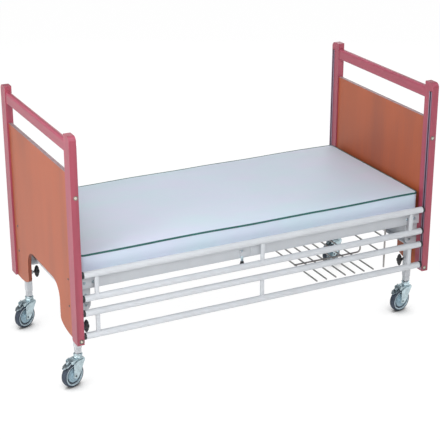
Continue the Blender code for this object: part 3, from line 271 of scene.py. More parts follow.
def laminate_board(name, colour):
    """Woodgrain laminate with upright streaks, and a darker band on the cut edges."""
    graph = Graph(name)
    streaks = graph.noise(graph.place((1.0, 1.0, 0.03)), scale=190, detail=4, roughness=0.6)
    bands = graph.noise(graph.place((1.0, 1.0, 0.10)), scale=7.5, detail=1, roughness=0.4)
    drift = graph.noise(graph.place(), scale=2.4, detail=2)
    figure = streaks * 0.30 + bands * 0.50 + drift * 0.20
    brown = (colour[0] * 0.76, colour[1] * 0.82, colour[2] * 1.05)
    face = graph.ramp(figure, [
        (0.36, brown),
        (0.64, shaded(colour, 1.06)),
        (0.50, shaded(colour, 0.96)),
    ])
    bare_core = (colour[0] * 0.50, colour[1] * 0.42, colour[2] * 0.40)
    cut_edge = 1 - graph.axis("X", "Normal").absolute().rise(0.5, 0.8)
    graph.relief(streaks, strength=0.12, distance=0.0004)
    return graph.finish(
        Base_Color=graph.mix(face, bare_core, cut_edge),
        Roughness=0.42 + 0.14 * streaks,
        Coat_Weight=0.05,
        Coat_Roughness=0.3)


def powder_coat(name, colour):
    """Off-white powder coat: a fine orange peel, faint dust and scuffs."""
    graph = Graph(name)
    peel = graph.noise(graph.place(), scale=900, detail=2, roughness=0.5)
    dust = graph.noise(graph.place(), scale=9, detail=5, roughness=0.6)
    scuffs = graph.noise(
        graph.place((1.0, 1.0, 5.0)), scale=60, detail=4, roughness=0.7).rise(0.66, 0.74)
    coat = graph.tones(dust, colour, (0.25, 0.94), (0.75, 1.03))
    graph.relief(peel, strength=0.10, distance=0.0004)
    return graph.finish(
        Base_Color=graph.mix(coat, shaded(colour, 0.72), scuffs * 0.18),
        Roughness=0.30 + 0.14 * dust + 0.10 * scuffs)


def zinc_plate(name, colour, roughness=0.30):
    """Zinc plate with a bluish bloom and fine spangle."""
    graph = Graph(name)
    bloom = graph.noise(graph.place(), scale=55, detail=4, roughness=0.6)
    spangle = graph.noise(graph.place(), scale=340, detail=2, roughness=0.5)
    plate = graph.tones(bloom * 0.7 + spangle * 0.3, colour, (0.30, 0.62), (0.72, 1.25))
    # Random darker, less metallic patches.
    dark_patches = graph.noise(graph.place(), scale=120, detail=5, roughness=0.7).rise(0.60, 0.72)
    graph.relief(spangle, strength=0.12, distance=0.0003)
    return graph.finish(
        Base_Color=graph.mix(plate, shaded(colour, 0.35), dark_patches * 0.5),
        Metallic=0.92 - 0.3 * dark_patches,
        Roughness=roughness + 0.18 * bloom)


def anodised_aluminium(name, colour):
    """Satin anodised aluminium with fine lines along the extrusion and worn tracks."""
    graph = Graph(name)
    lines = graph.noise(graph.place((1.0, 1.0, 0.01)), scale=1400, detail=3, roughness=0.6)
    rubs = graph.noise(
        graph.place((1.0, 1.0, 0.12)), scale=90, detail=3, roughness=0.6).rise(0.55, 0.70)
    satin = graph.tones(lines, colour, (0.2, 0.82), (0.8, 1.15))
    graph.relief(lines, strength=0.10, distance=0.0002)
    return graph.finish(
        Base_Color=graph.mix(satin, shaded(colour, 1.3), rubs * 0.3),
        Metallic=0.8,
        Roughness=0.36 + 0.14 * lines)


def moulded_plastic(name, colour, roughness=0.45):
    """Moulded plastic with a fine spark-eroded texture."""
    graph = Graph(name)
    spark = graph.noise(graph.place(), scale=1300, detail=3, roughness=0.6)
    cloud = graph.noise(graph.place(), scale=40, detail=3)
    tone = graph.tones(cloud, colour, (0.3, 0.85), (0.7, 1.15))
    graph.relief(spark, strength=0.16, distance=0.0003)
    return graph.finish(Base_Color=tone, Roughness=roughness + 0.12 * spark)


def tyre_rubber(name, colour):
    """Grey-blue tyre rubber, duller and dustier in random patches."""
    graph = Graph(name)
    dust = graph.noise(graph.place(), scale=70, detail=5, roughness=0.65)
    pits = graph.noise(graph.place(), scale=900, detail=2)
    tone = graph.tones(dust, colour, (0.35, 0.8), (0.75, 1.5))
    graph.relief(pits, strength=0.2, distance=0.0004)
    return graph.finish(Base_Color=tone, Roughness=0.55 + 0.25 * dust)


def coated_cover(name, colour):
    """A coated mattress cover: a fine knit under a soft, slightly mottled film."""
    graph = Graph(name)
    pitch = 2600.0              # of the knit, in radians per metre
    knit = ((graph.axis("X") * pitch).wave() * (graph.axis("Y") * pitch).wave()
            + (graph.axis("Z") * pitch).wave())
    mottle = graph.noise(graph.place((0.6, 1.0, 1.0)), scale=5.0, detail=4, roughness=0.55)
    creases = graph.noise(graph.place((0.35, 1.0, 2.2)), scale=14, detail=5, roughness=0.62)
    lilac = (colour[0] * 1.01, colour[1] * 0.965, colour[2] * 1.02)
    aqua = (colour[0] * 0.93, colour[1] * 1.02, colour[2] * 1.0)
    tone = graph.ramp(mottle, [(0.32, aqua), (0.68, lilac)])
    graph.relief(knit * 0.10 + creases * 1.2, strength=0.30, distance=0.0016)
    return graph.finish(
        Base_Color=tone,
        Roughness=0.46 + 0.16 * creases,
        Sheen_Weight=0.12,
        Sheen_Roughness=0.5)


def piping_tape(name, colour):
    """Shiny woven tape over a cord."""
    graph = Graph(name)
    pitch = 2100.0              # of the weave, in radians per metre
    ribs = (graph.axis("X") * pitch + graph.axis("Y") * pitch).wave()
    wear = graph.noise(graph.place(), scale=60, detail=3)
    tone = graph.tones(wear, colour, (0.3, 0.8), (0.7, 1.3))
    graph.relief(ribs, strength=0.3, distance=0.0005)
    return graph.finish(Base_Color=tone, Roughness=0.38 + 0.1 * wear)


# Mesh tools


def merge(shape, part, place=Matrix.Identity(4)):
    """Move a finished bmesh into place and add it to another."""
    bmesh.ops.transform(part, matrix=place, verts=part.verts)
    mesh = bpy.data.meshes.new("part")
    part.to_mesh(mesh)
    part.free()
    shape.from_mesh(mesh)
    bpy.data.meshes.remove(mesh)


def bevel_edges(part, edges, width, segments=2):
    """Round some edges of a bmesh."""
    bmesh.ops.bevel(
        part, geom=list(edges), offset=width, segments=segments, profile=0.5,
        affect="EDGES", material=-1)


def sharp_edges(part, angle=1.0):
    """The edges where two faces meet at more than an angle."""
    return [edge for edge in part.edges if edge.calc_face_angle(0) > angle]


def add_rod(shape, start, end, radius, segments=24, end_radius=None, bevel=0.0):
    """A round bar or cone between two points, its rims rounded."""
    start = Vector(start)
    line = Vector(end) - start
    part = bmesh.new()
    bmesh.ops.create_cone(
        part, cap_ends=True, segments=segments, radius1=radius,
        radius2=radius if end_radius is None else end_radius, depth=line.length)
    if bevel > 0:
        bevel_edges(part, sharp_edges(part), bevel)
    turn = line.to_track_quat("Z", "Y").to_matrix().to_4x4()
    merge(shape, part, Matrix.Translation(start + line / 2) @ turn)


def add_block(shape, low, high, bevel=0.0, segments=2):
    """A box between two corners, its edges rounded."""
    low = Vector(low)
    size = Vector(high) - low
    part = bmesh.new()
    bmesh.ops.create_cube(part, size=1.0, matrix=Matrix.Diagonal((*size, 1.0)))
    if bevel > 0:
        bevel_edges(part, part.edges, bevel, segments=segments)
    merge(shape, part, Matrix.Translation(low + size / 2))


def add_ball(shape, centre, radii, segments=16):
    """A ball stretched along the axes."""
    part = bmesh.new()
    bmesh.ops.create_uvsphere(part, u_segments=segments, v_segments=segments // 2, radius=1.0)
    merge(shape, part, Matrix.Translation(centre) @ Matrix.Diagonal((*radii, 1.0)))


def add_turned(shape, profile, place=Matrix.Identity(4), steps=48, closed=False):
    """Spin a profile of (radius, height) round Z and put it in place."""
    part = bmesh.new()
    verts = [part.verts.new((radius, 0, height)) for radius, height in profile]
    edges = [part.edges.new(pair) for pair in zip(verts, verts[1:])]
    if closed:
        edges.append(part.edges.new((verts[-1], verts[0])))
    bmesh.ops.spin(
        part, geom=verts + edges, cent=(0, 0, 0), axis=(0, 0, 1), angle=math.tau,
        steps=steps, use_merge=True, use_duplicate=False)
    bmesh.ops.remove_doubles(part, verts=part.verts, dist=SAME_POINT)
    bmesh.ops.recalc_face_normals(part, faces=part.faces)
    merge(shape, part, place)


def add_plate(shape, outline, thickness, place, corner, bevel):
    """A plate with an outline in X and Z and its thickness along Y, corners and rims rounded."""
    part = bmesh.new()
    face = part.faces.new([part.verts.new((x, 0, z)) for x, z in outline])
    pushed = bmesh.ops.extrude_face_region(part, geom=[face])["geom"]
    moved = [item for item in pushed if isinstance(item, bmesh.types.BMVert)]
    bmesh.ops.translate(part, vec=(0, thickness, 0), verts=moved)
    across = [edge for edge in part.edges
              if abs(edge.verts[0].co.y - edge.verts[1].co.y) > thickness / 2]
    bevel_edges(part, across, corner, segments=5)
    bevel_edges(part, sharp_edges(part, angle=1.2), bevel)
    bmesh.ops.recalc_face_normals(part, faces=part.faces)
    merge(shape, part, place)


def pointing(direction, at=(0, 0, 0)):
    """The placement that turns +Z to a direction and moves to a point."""
    turn = Vector(direction).to_track_quat("Z", "Y").to_matrix().to_4x4()
    return Matrix.Translation(at) @ turn


def mesh_piece(name, mesh, material, smooth=40):
    """Link a mesh as a new object with one material, smooth but for its sharp edges."""
    piece = bpy.data.objects.new(name, mesh)
    bpy.context.scene.collection.objects.link(piece)
    mesh.materials.append(material)
    mesh.shade_smooth()
    mesh.set_sharp_from_angle(angle=math.radians(smooth))
    return piece


def new_piece(name, shape, material, body, replaces=()):
    """Turn a bmesh into a piece that rides on a body."""
    bmesh.ops.recalc_face_normals(shape, faces=shape.faces)
    mesh = bpy.data.meshes.new(name)
    shape.to_mesh(mesh)
    shape.free()
    piece = mesh_piece(name, mesh, material)
    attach(piece, body)
    if replaces:
        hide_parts(*replaces)
    return piece


def paint(material, *nodes):
    """Give carried-over nodes a material."""
    for node in nodes:
        piece = frame["nodes"][node]
        piece.data.materials.clear()
        piece.data.materials.append(material)


def every(pattern):
    """A name for each end and side."""
    return [pattern.format(end=end, side=side) for end in ENDS for side in SIDES]


def dome_head(radius, height):
    """The closed profile of a domed screw head with a dished middle."""
    return [
        (0, 0),
        (radius, 0),
        (radius, height * 0.35),
        (radius * 0.86, height * 0.8),
        (radius * 0.55, height),
        (radius * 0.34, height * 0.97),
        (radius * 0.28, height * 0.45),
        (0, height * 0.4),
    ]


# Settings


class BoardSettings(bpy.types.PropertyGroup):
    """The wooden end boards."""

    stain: bpy.props.FloatVectorProperty(
        name="Stain", description="Colour of the stained posts and rails",
        subtype="COLOR", size=3, default=(0.330, 0.054, 0.087))
    laminate: bpy.props.FloatVectorProperty(
        name="Laminate", description="Colour of the panels",
        subtype="COLOR", size=3, default=(0.378, 0.088, 0.032))
    edge_strip: bpy.props.FloatVectorProperty(
        name="Edge strip", description="Colour of the strip along the panels' top",
        subtype="COLOR", size=3, default=(0.33, 0.235, 0.25))
    strip_height: bpy.props.FloatProperty(
        name="Strip height", description="Height of the strip along the panels' top",
        unit="LENGTH", default=0.002)
    screw_radius: bpy.props.FloatProperty(
        name="Screw radius", description="Radius of the screws through the panels",
        unit="LENGTH", default=0.0055)
    cap_radius: bpy.props.FloatProperty(
        name="Cap radius", description="Radius of the metal caps on the posts' sides",
        unit="LENGTH", default=0.0115)


class MetalSettings(bpy.types.PropertyGroup):
    """The painted and plated metal."""

    paint: bpy.props.FloatVectorProperty(
        name="Paint", description="Colour of the painted frame and cot sides",
        subtype="COLOR", size=3, default=(0.545, 0.568, 0.598))
    zinc: bpy.props.FloatVectorProperty(
        name="Zinc", description="Colour of the zinc plate",
        subtype="COLOR", size=3, default=(0.46, 0.56, 0.61))
    fork: bpy.props.FloatVectorProperty(
        name="Fork", description="Colour of the castors' forks",
        subtype="COLOR", size=3, default=(0.56, 0.68, 0.72))
    wire: bpy.props.FloatVectorProperty(
        name="Wire", description="Colour of the rack's wire",
        subtype="COLOR", size=3, default=(0.42, 0.40, 0.39))
    runner: bpy.props.FloatVectorProperty(
        name="Runner", description="Colour of the anodised runner channels",
        subtype="COLOR", size=3, default=(0.36, 0.27, 0.35))
    cap: bpy.props.FloatVectorProperty(
        name="Cap", description="Colour of the nickel caps on the posts",
        subtype="COLOR", size=3, default=(0.56, 0.52, 0.46))
    black: bpy.props.FloatVectorProperty(
        name="Black", description="Colour of the knobs and glides",
        subtype="COLOR", size=3, default=(0.016, 0.017, 0.020))
    bolt_radius: bpy.props.FloatProperty(
        name="Bolt radius", description="Radius of the frame's bolt heads",
        unit="LENGTH", default=0.0075)


class CastorSettings(bpy.types.PropertyGroup):
    """The castors' wheels."""

    tyre: bpy.props.FloatVectorProperty(
        name="Tyre", description="Colour of the tyres",
        subtype="COLOR", size=3, default=(0.030, 0.042, 0.064))
    ring: bpy.props.FloatVectorProperty(
        name="Ring", description="Colour of the ring inside the tyre",
        subtype="COLOR", size=3, default=(0.36, 0.45, 0.50))
    hub: bpy.props.FloatVectorProperty(
        name="Hub", description="Colour of the hub",
        subtype="COLOR", size=3, default=(0.26, 0.38, 0.45))


class MattressSettings(bpy.types.PropertyGroup):
    """The mattress and its cover."""

    cover: bpy.props.FloatVectorProperty(
        name="Cover", description="Colour of the cover",
        subtype="COLOR", size=3, default=(0.560, 0.632, 0.728))
    piping: bpy.props.FloatVectorProperty(
        name="Piping", description="Colour of the piping",
        subtype="COLOR", size=3, default=(0.010, 0.092, 0.084))
    piping_radius: bpy.props.FloatProperty(
        name="Piping radius", description="Radius of the piping round the top",
        unit="LENGTH", default=0.0050)
    corner: bpy.props.FloatProperty(
        name="Corner", description="Radius of the corners seen from above",
        unit="LENGTH", default=0.022)
    swell: bpy.props.FloatProperty(
        name="Swell", description="How far the foam pushes the cover out at most",
        unit="LENGTH", default=0.009)
    cell: bpy.props.FloatProperty(
        name="Cell", description="Size of the cover's mesh cells",
        unit="LENGTH", default=0.016)


class StageSettings(bpy.types.PropertyGroup):
    """Floor, light and camera."""

    floor: bpy.props.FloatVectorProperty(
        name="Floor", description="Colour of the floor",
        subtype="COLOR", size=3, default=(0.90, 0.90, 0.90))
    floor_glow: bpy.props.FloatProperty(
        name="Floor glow", description="How far the seen floor is lifted to white",
        subtype="FACTOR", default=0.92)
    key_power: bpy.props.FloatProperty(
        name="Key light", description="Power of the soft light high at the front",
        unit="POWER", default=158.0)
    side_power: bpy.props.FloatProperty(
        name="Side light", description="Power of the soft light low at the head end",
        unit="POWER", default=80.0)
    top_power: bpy.props.FloatProperty(
        name="Top light", description="Power of the soft light above the bed",
        unit="POWER", default=78.0)
    fill_power: bpy.props.FloatProperty(
        name="Fill light", description="Power of the soft light beyond the foot end",
        unit="POWER", default=130.0)
    back_power: bpy.props.FloatProperty(
        name="Back light", description="Power of the soft light behind the bed",
        unit="POWER", default=54.0)
    sky: bpy.props.FloatProperty(
        name="Sky", description="Strength of the light from all round",
        default=0.30)
    camera_place: bpy.props.FloatVectorProperty(
        name="Camera", description="Where the camera stands",
        subtype="TRANSLATION", unit="LENGTH", size=3, default=(-2.836, -5.755, 3.129))
    camera_yaw: bpy.props.FloatProperty(
        name="Camera yaw", description="Turn of the camera from +Y towards +X",
        subtype="ANGLE", default=0.4619)
    camera_pitch: bpy.props.FloatProperty(
        name="Camera pitch", description="Tilt of the camera below the horizon",
        subtype="ANGLE", default=0.380)
    camera_lens: bpy.props.FloatProperty(
        name="Camera lens", description="Focal length on a sensor 36 mm wide, in millimetres",
        unit="CAMERA", default=107.0)


# Operators


class BED_OT_boards(bpy.types.Operator):
    """Finish the two wooden end boards and add their edge strips, screws and caps"""

    bl_idname = "bed.boards"
    bl_label = "End boards"

    def execute(self, context):
        settings = context.scene.bed_boards
        metal = context.scene.bed_metal
        posts = stained_wood("stained_beech_upright", settings.stain, "Z")
        rails = stained_wood("stained_beech_crosswise", settings.stain, "Y")
        paint(posts, *every("{end}_post_{side}"))
        paint(rails, *(f"{end}_top_rail" for end in ENDS))
        paint(laminate_board("woodgrain_laminate", settings.laminate),
              *(f"{end}_panel" for end in ENDS))
        strip = moulded_plastic("edge_strip_plastic", settings.edge_strip)
        screw = zinc_plate("dark_screw_steel", shaded(metal.zinc, 0.28), roughness=0.4)
        # The dished rings get a dark copy of the nickel: painted shade in their dishes.
        ring = zinc_plate("cap_ring_nickel", shaded(metal.cap, 0.38), roughness=0.34)
        cap = zinc_plate("cap_nickel", shaded(metal.cap, 1.25), roughness=0.24)
        for end_name, end in ENDS.items():
            self.edge_strip(end_name, strip, settings.strip_height)
            self.board_screws(end_name, end, screw, settings.screw_radius)
            for side_name, side in SIDES.items():
                self.post_caps(end_name, side_name, side, ring, cap, settings.cap_radius)
        return {"FINISHED"}

    def edge_strip(self, end_name, material, height):
        """A rounded strip along the panel's top edge."""
        low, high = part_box(f"{end_name}_panel")
        shape = bmesh.new()
        add_block(
            shape, (low.x - 2 * FIT, low.y + FIT, high.z),
            (high.x + 2 * FIT, high.y - FIT, high.z + height), bevel=height * 0.45, segments=3)
        new_piece(f"{end_name}_panel_edge_strip", shape, material, ROOT)

    def board_screws(self, end_name, end, material, radius):
        """Four screws through each panel into the frame's end member."""
        side_inset = 0.0437
        bottom_inset = 0.023
        top_inset = 0.021
        head_height = 0.0026
        panel_low, panel_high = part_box(f"{end_name}_panel")
        member_low, member_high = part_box(f"{end_name}_end_member")
        face = panel_high.x if end > 0 else panel_low.x
        across = member_high.y - side_inset
        shape = bmesh.new()
        for y in (-across, across):
            for z in (member_low.z + bottom_inset, member_high.z - top_inset):
                place = pointing((end, 0, 0), (face, y, z))
                add_turned(shape, dome_head(radius, height=head_height), place, steps=20)
        new_piece(f"{end_name}_board_screws", shape, material, ROOT)

    def post_caps(self, end_name, side_name, side, dark, bright, radius):
        """A dished ring round the catch button, and one round the stop screw below, both dark with
        painted shade.
        """
        screw_height = 0.019        # above the post's foot
        crest = 0.0021
        dish_floor = 0.0005
        head_height = 0.0030
        post_low, post_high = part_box(f"{end_name}_post_{side_name}")
        button_low, button_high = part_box(f"{end_name}_catch_button_{side_name}")
        face = post_high.y if side > 0 else post_low.y
        x = (button_low.x + button_high.x) / 2
        button_z = (button_low.z + button_high.z) / 2
        screw_z = post_low.z + screw_height
        bore = (button_high.z - button_low.z) / 2 + FIT
        dish = [
            (bore, 0), (radius, 0), (radius, crest - 0.0009), (radius * 0.92, crest),
            (radius * 0.84, crest - 0.0003), (bore * 1.08, dish_floor + 0.0001),
            (bore, dish_floor)]
        rings = bmesh.new()
        for z in (button_z, screw_z):
            add_turned(rings, dish, pointing((0, side, 0), (x, face, z)), steps=32, closed=True)
        new_piece(f"{end_name}_post_rings_{side_name}", rings, dark, ROOT)
        screw = bmesh.new()
        head = dome_head(bore - 2 * FIT, height=head_height)
        add_turned(screw, head, pointing((0, side, 0), (x, face, screw_z)), steps=28)
        new_piece(f"{end_name}_stop_screw_{side_name}", screw, bright, ROOT)


class BED_OT_runners(bpy.types.Operator):
    """Finish the runner channels and their catch buttons"""

    bl_idname = "bed.runners"
    bl_label = "Runner channels"

    def execute(self, context):
        metal = context.scene.bed_metal
        aluminium = anodised_aluminium("runner_aluminium", metal.runner)
        paint(aluminium, *every("{end}_runner_{side}"))
        paint(zinc_plate("button_steel", shaded(metal.cap, 1.25), roughness=0.22),
              *every("{end}_catch_button_{side}"))
        plastic = moulded_plastic("runner_plug_plastic", metal.black, roughness=0.5)
        for end_name, end in ENDS.items():
            for side_name in SIDES:
                self.plug(f"{end_name}_runner_{side_name}", end, plastic)
        return {"FINISHED"}

    def plug(self, node, end, material):
        """A black plug in the channel's mouth, with a lip over its front edge."""
        rounding = 0.0008
        low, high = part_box(node)
        wall = RUNNER_WALL + FIT
        face, back = (low.x, high.x) if end > 0 else (high.x, low.x)
        inside = sorted((face + end * wall, back - end * wall))
        middle = (low.y + high.y) / 2
        neck = RUNNER_SLOT / 2 - FIT
        lip = sorted((face - end * PLUG_PROUD, face + end * 2 * wall))
        shape = bmesh.new()
        add_block(
            shape, (inside[0], low.y + wall, high.z - PLUG_HEIGHT),
            (inside[1], high.y - wall, high.z - FIT), bevel=rounding)
        add_block(
            shape, (lip[0], middle - neck, high.z - PLUG_HEIGHT),
            (lip[1], middle + neck, high.z - FIT), bevel=rounding)
        new_piece(f"{node}_plug", shape, material, ROOT)


class BED_OT_cot_sides(bpy.types.Operator):
    """Model the tube pairs of the cot sides and the black glides on their ends"""

    bl_idname = "bed.cot_sides"
    bl_label = "Cot sides"

    tube_radius: bpy.props.FloatProperty(
        name="Tube radius", description="Radius of the cot sides' tubes",
        unit="LENGTH", default=0.0165)

    def execute(self, context):
        metal = context.scene.bed_metal
        coat = powder_coat("cot_side_paint", metal.paint)
        plastic = moulded_plastic("glide_nylon", metal.black, roughness=0.38)
        for side_name in SIDES:
            for pair in PAIRS:
                self.pair(f"cot_{side_name}_{pair}", side_name, coat, plastic)
        return {"FINISHED"}

    def pair(self, node, side_name, coat, plastic):
        """Two tubes with three spacers, and a glide on each tube's end."""
        spacer_inset = 0.065        # from the tubes' ends
        overlap = 0.001             # of a collar over its tube
        rounding = 0.0018
        low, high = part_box(node)
        y = (low.y + high.y) / 2
        collar = (high.y - low.y) / 2
        heights = (low.z + collar, high.z - collar)
        faces = {
            "head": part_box(f"head_runner_{side_name}")[1].x,
            "foot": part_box(f"foot_runner_{side_name}")[0].x,
        }
        backs = {"head": low.x, "foot": high.x}
        starts = {end: faces[end] - ENDS[end] * (FIT + COLLAR_LENGTH) for end in ENDS}
        tubes = bmesh.new()
        glides = bmesh.new()
        for z in heights:
            add_rod(
                tubes, (starts["head"], y, z), (starts["foot"], y, z), self.tube_radius,
                segments=40)
            for end_name, end in ENDS.items():
                add_rod(
                    glides, (starts[end_name] - end * overlap, y, z),
                    (faces[end_name] - end * FIT, y, z), collar, segments=32, bevel=rounding)
                self.slider(glides, end, faces[end_name], backs[end_name], y, z)
        middle = 0.5 * sum(starts.values())
        for x in (starts["head"] + spacer_inset, middle, starts["foot"] - spacer_inset):
            self.spacer(tubes, x, y, heights)
        new_piece(f"{node}_tubes", tubes, coat, node, [node])
        new_piece(f"{node}_glides", glides, plastic, node)

    def spacer(self, shape, x, y, heights):
        """A flat bar between the two tubes, welded all round at both ends."""
        half_width = 0.010
        half_depth = 0.006
        rounding = 0.002
        weld_height = 0.0034
        add_block(
            shape, (x - half_width, y - half_depth, heights[0]),
            (x + half_width, y + half_depth, heights[1]), bevel=rounding)
        for z, up in zip(heights, (1, -1)):
            foot = z + up * self.tube_radius * 0.93
            add_ball(shape, (x, y, foot), (half_width * 1.22, half_depth * 1.35, weld_height))

    def slider(self, shape, end, face, back, y, z):
        """A neck through the runner's slot and a block inside the channel."""
        neck = RUNNER_SLOT / 2 - 2 * FIT
        lip = face + end * (RUNNER_WALL + 2 * FIT)
        half_width = 0.0086
        half_height = 0.010
        neck_height = half_height * 0.75
        overlap = 0.001             # of the neck with the block, and twice it with the collar
        xs = sorted((face - end * 2 * overlap, lip + end * overlap))
        add_block(
            shape, (xs[0], y - neck, z - neck_height), (xs[1], y + neck, z + neck_height),
            bevel=0.001)
        xs = sorted((lip, back))
        add_block(
            shape, (xs[0], y - half_width, z - half_height),
            (xs[1], y + half_width, z + half_height), bevel=0.0015)


class BED_OT_frame(bpy.types.Operator):
    """Finish the steel frame, platforms, prop and locking screws, and add the bolts"""

    bl_idname = "bed.frame"
    bl_label = "Frame and platform"

    def execute(self, context):
        metal = context.scene.bed_metal
        coat = powder_coat("frame_paint", metal.paint)
        rails = [f"{end}_side_rail_{side}" for end in ENDS for side in SIDES]
        members = [f"{end}_end_member" for end in ENDS]
        paint(coat, *rails, *members, "prop_cross_tube", "centre_cross_tube")
        # The platforms get a slightly darker copy of the frame paint: painted shade under the
        # mattress.
        paint(powder_coat("platform_paint", shaded(metal.paint, 0.94)),
              "seat_platform", "backrest_platform")
        paint(zinc_plate("prop_zinc", metal.zinc), "backrest_prop")
        bolt = zinc_plate("bolt_zinc", shaded(metal.zinc, 0.9), roughness=0.26)
        steel = zinc_plate("lock_screw_steel", shaded(metal.zinc, 1.3), roughness=0.25)
        plastic = moulded_plastic("lock_screw_grip_plastic", metal.black, roughness=0.4)
        for side_name, side in SIDES.items():
            self.lock_screw(f"lock_screw_{side_name}", steel, plastic)
            for end_name, end in ENDS.items():
                self.bolts(end_name, end, side_name, side, bolt, metal.bolt_radius)
        return {"FINISHED"}

    def lock_screw(self, node, steel, plastic):
        """A locking screw: a shank with a sleeve below its block, and a black cone grip."""
        low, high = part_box(node)
        middle = (low + high) / 2
        place = Matrix.Translation((middle.x, middle.y, low.z))
        length = high.z - low.z
        seated = 0.026              # length of the shank inside its block
        shank_radius = 0.0040
        sleeve_radius = 0.0070
        neck_radius = 0.0060
        grip_radius = 0.0118
        grip_top = 0.0068
        grip_height = 0.020
        hollow = 0.002              # in the grip's underside
        sleeve_top = length - seated - FIT
        shape = bmesh.new()
        shank = [
            (0, length), (shank_radius, length), (shank_radius, sleeve_top),
            (sleeve_radius - 0.0006, sleeve_top), (sleeve_radius, sleeve_top - 0.001),
            (sleeve_radius, grip_height + 0.003), (neck_radius, grip_height + 0.001),
            (neck_radius, grip_height - 0.002), (0, grip_height - 0.002)]
        add_turned(shape, shank, place, steps=32)
        new_piece(f"{node}_shank", shape, steel, node, [node])
        shape = bmesh.new()
        grip = [
            (0, grip_height), (grip_top, grip_height), (grip_top + 0.0014, grip_height * 0.86),
            (grip_radius - 0.0006, grip_height * 0.25), (grip_radius, grip_height * 0.12),
            (grip_radius - 0.001, 0), (shank_radius, 0), (shank_radius - 0.001, hollow),
            (0, hollow)]
        add_turned(shape, grip, place, steps=32)
        new_piece(f"{node}_grip", shape, plastic, node)

    def bolts(self, end_name, end, side_name, side, material, radius):
        """Domed bolts on the end of a side rail and on the gusset below it."""
        rail_insets = (0.030, 0.075)
        rail_drop = 0.031           # of the bolts below the rail's top
        gusset_heights = (0.030, 0.085)
        gusset_inset = 0.042
        rail = f"{end_name}_side_rail_{side_name}"
        rail_low, rail_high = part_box(rail)
        member_low, member_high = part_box(f"{end_name}_end_member")
        rail_end = rail_high.x if end > 0 else rail_low.x
        rail_face = self.outer_face(rail, side, rail_end - end * 0.05)
        gusset_face = member_low.y if side < 0 else member_high.y
        middle = rail_high.z - rail_drop
        shape = bmesh.new()
        for inset in rail_insets:
            place = pointing((0, side, 0), (rail_end - end * inset, rail_face, middle))
            add_turned(shape, dome_head(radius, height=0.0036), place, steps=24)
        for height in gusset_heights:
            at = (rail_end - end * gusset_inset, gusset_face, member_low.z + height)
            place = pointing((0, side, 0), at)
            add_turned(shape, dome_head(radius * 0.85, height=0.0032), place, steps=24)
        new_piece(f"{end_name}_frame_bolts_{side_name}", shape, material, ROOT)

    def outer_face(self, node, side, x):
        """How far out a node reaches where it crosses a place along the bed."""
        reach = 0
        mesh = frame["nodes"][node].data
        for edge in mesh.edges:
            ends = [mesh.vertices[index].co for index in edge.vertices]
            if min(ends[0].x, ends[1].x) <= x <= max(ends[0].x, ends[1].x):
                reach = max(reach, side * ends[0].y, side * ends[1].y)
        return side * reach


class BED_OT_legs(bpy.types.Operator):
    """Finish the telescopic legs and model their wing knobs"""

    bl_idname = "bed.legs"
    bl_label = "Legs"

    def execute(self, context):
        metal = context.scene.bed_metal
        paint(powder_coat("leg_paint", metal.paint), *every("{end}_leg_socket_{side}"))
        # The inner tubes get a slightly darker copy of the paint: painted shade low under the
        # frame.
        paint(powder_coat("inner_leg_paint", shaded(metal.paint, 0.9)),
              *every("{end}_leg_tube_{side}"))
        plastic = moulded_plastic("knob_plastic", metal.black, roughness=0.42)
        for end_name, end in ENDS.items():
            for side_name in SIDES:
                self.knob(f"{end_name}_leg_knob_{side_name}", end, plastic)
        return {"FINISHED"}

    def knob(self, node, end, material):
        """A wing knob: a turned hub with two rounded wings and a shank into the leg."""
        low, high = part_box(node)
        half_length = 0.013
        hub_radius = 0.0145
        shank_radius = 0.005
        lobe_half_width = 0.0118
        tip_half_width = 0.0082
        half_span = (high.z - low.z) / 2 * 1.1
        face, far = (low.x, high.x) if end > 0 else (high.x, low.x)
        centre = Vector((face + end * half_length, (low.y + high.y) / 2, (low.z + high.z) / 2))
        hub = [
            (0, half_length), (hub_radius * 0.55, half_length),
            (hub_radius * 0.88, half_length * 0.82), (hub_radius, half_length * 0.4),
            (hub_radius, -half_length * 0.5), (hub_radius * 0.75, -half_length),
            (0, -half_length)]
        shape = bmesh.new()
        add_turned(shape, hub, pointing((-end, 0, 0), centre), steps=32)
        for up in (-1, 1):
            lobe = centre + Vector((0, 0, up * half_span * 0.40))
            radii = (half_length * 0.92, lobe_half_width, half_span * 0.50)
            add_ball(shape, lobe, radii, segments=24)
            tip = centre + Vector((0, 0, up * half_span * 0.72))
            radii = (half_length * 0.60, tip_half_width, half_span * 0.28)
            add_ball(shape, tip, radii, segments=20)
        add_rod(shape, centre, (far, centre.y, centre.z), shank_radius, segments=20)
        new_piece(f"{node}_wings", shape, material, node, [node])


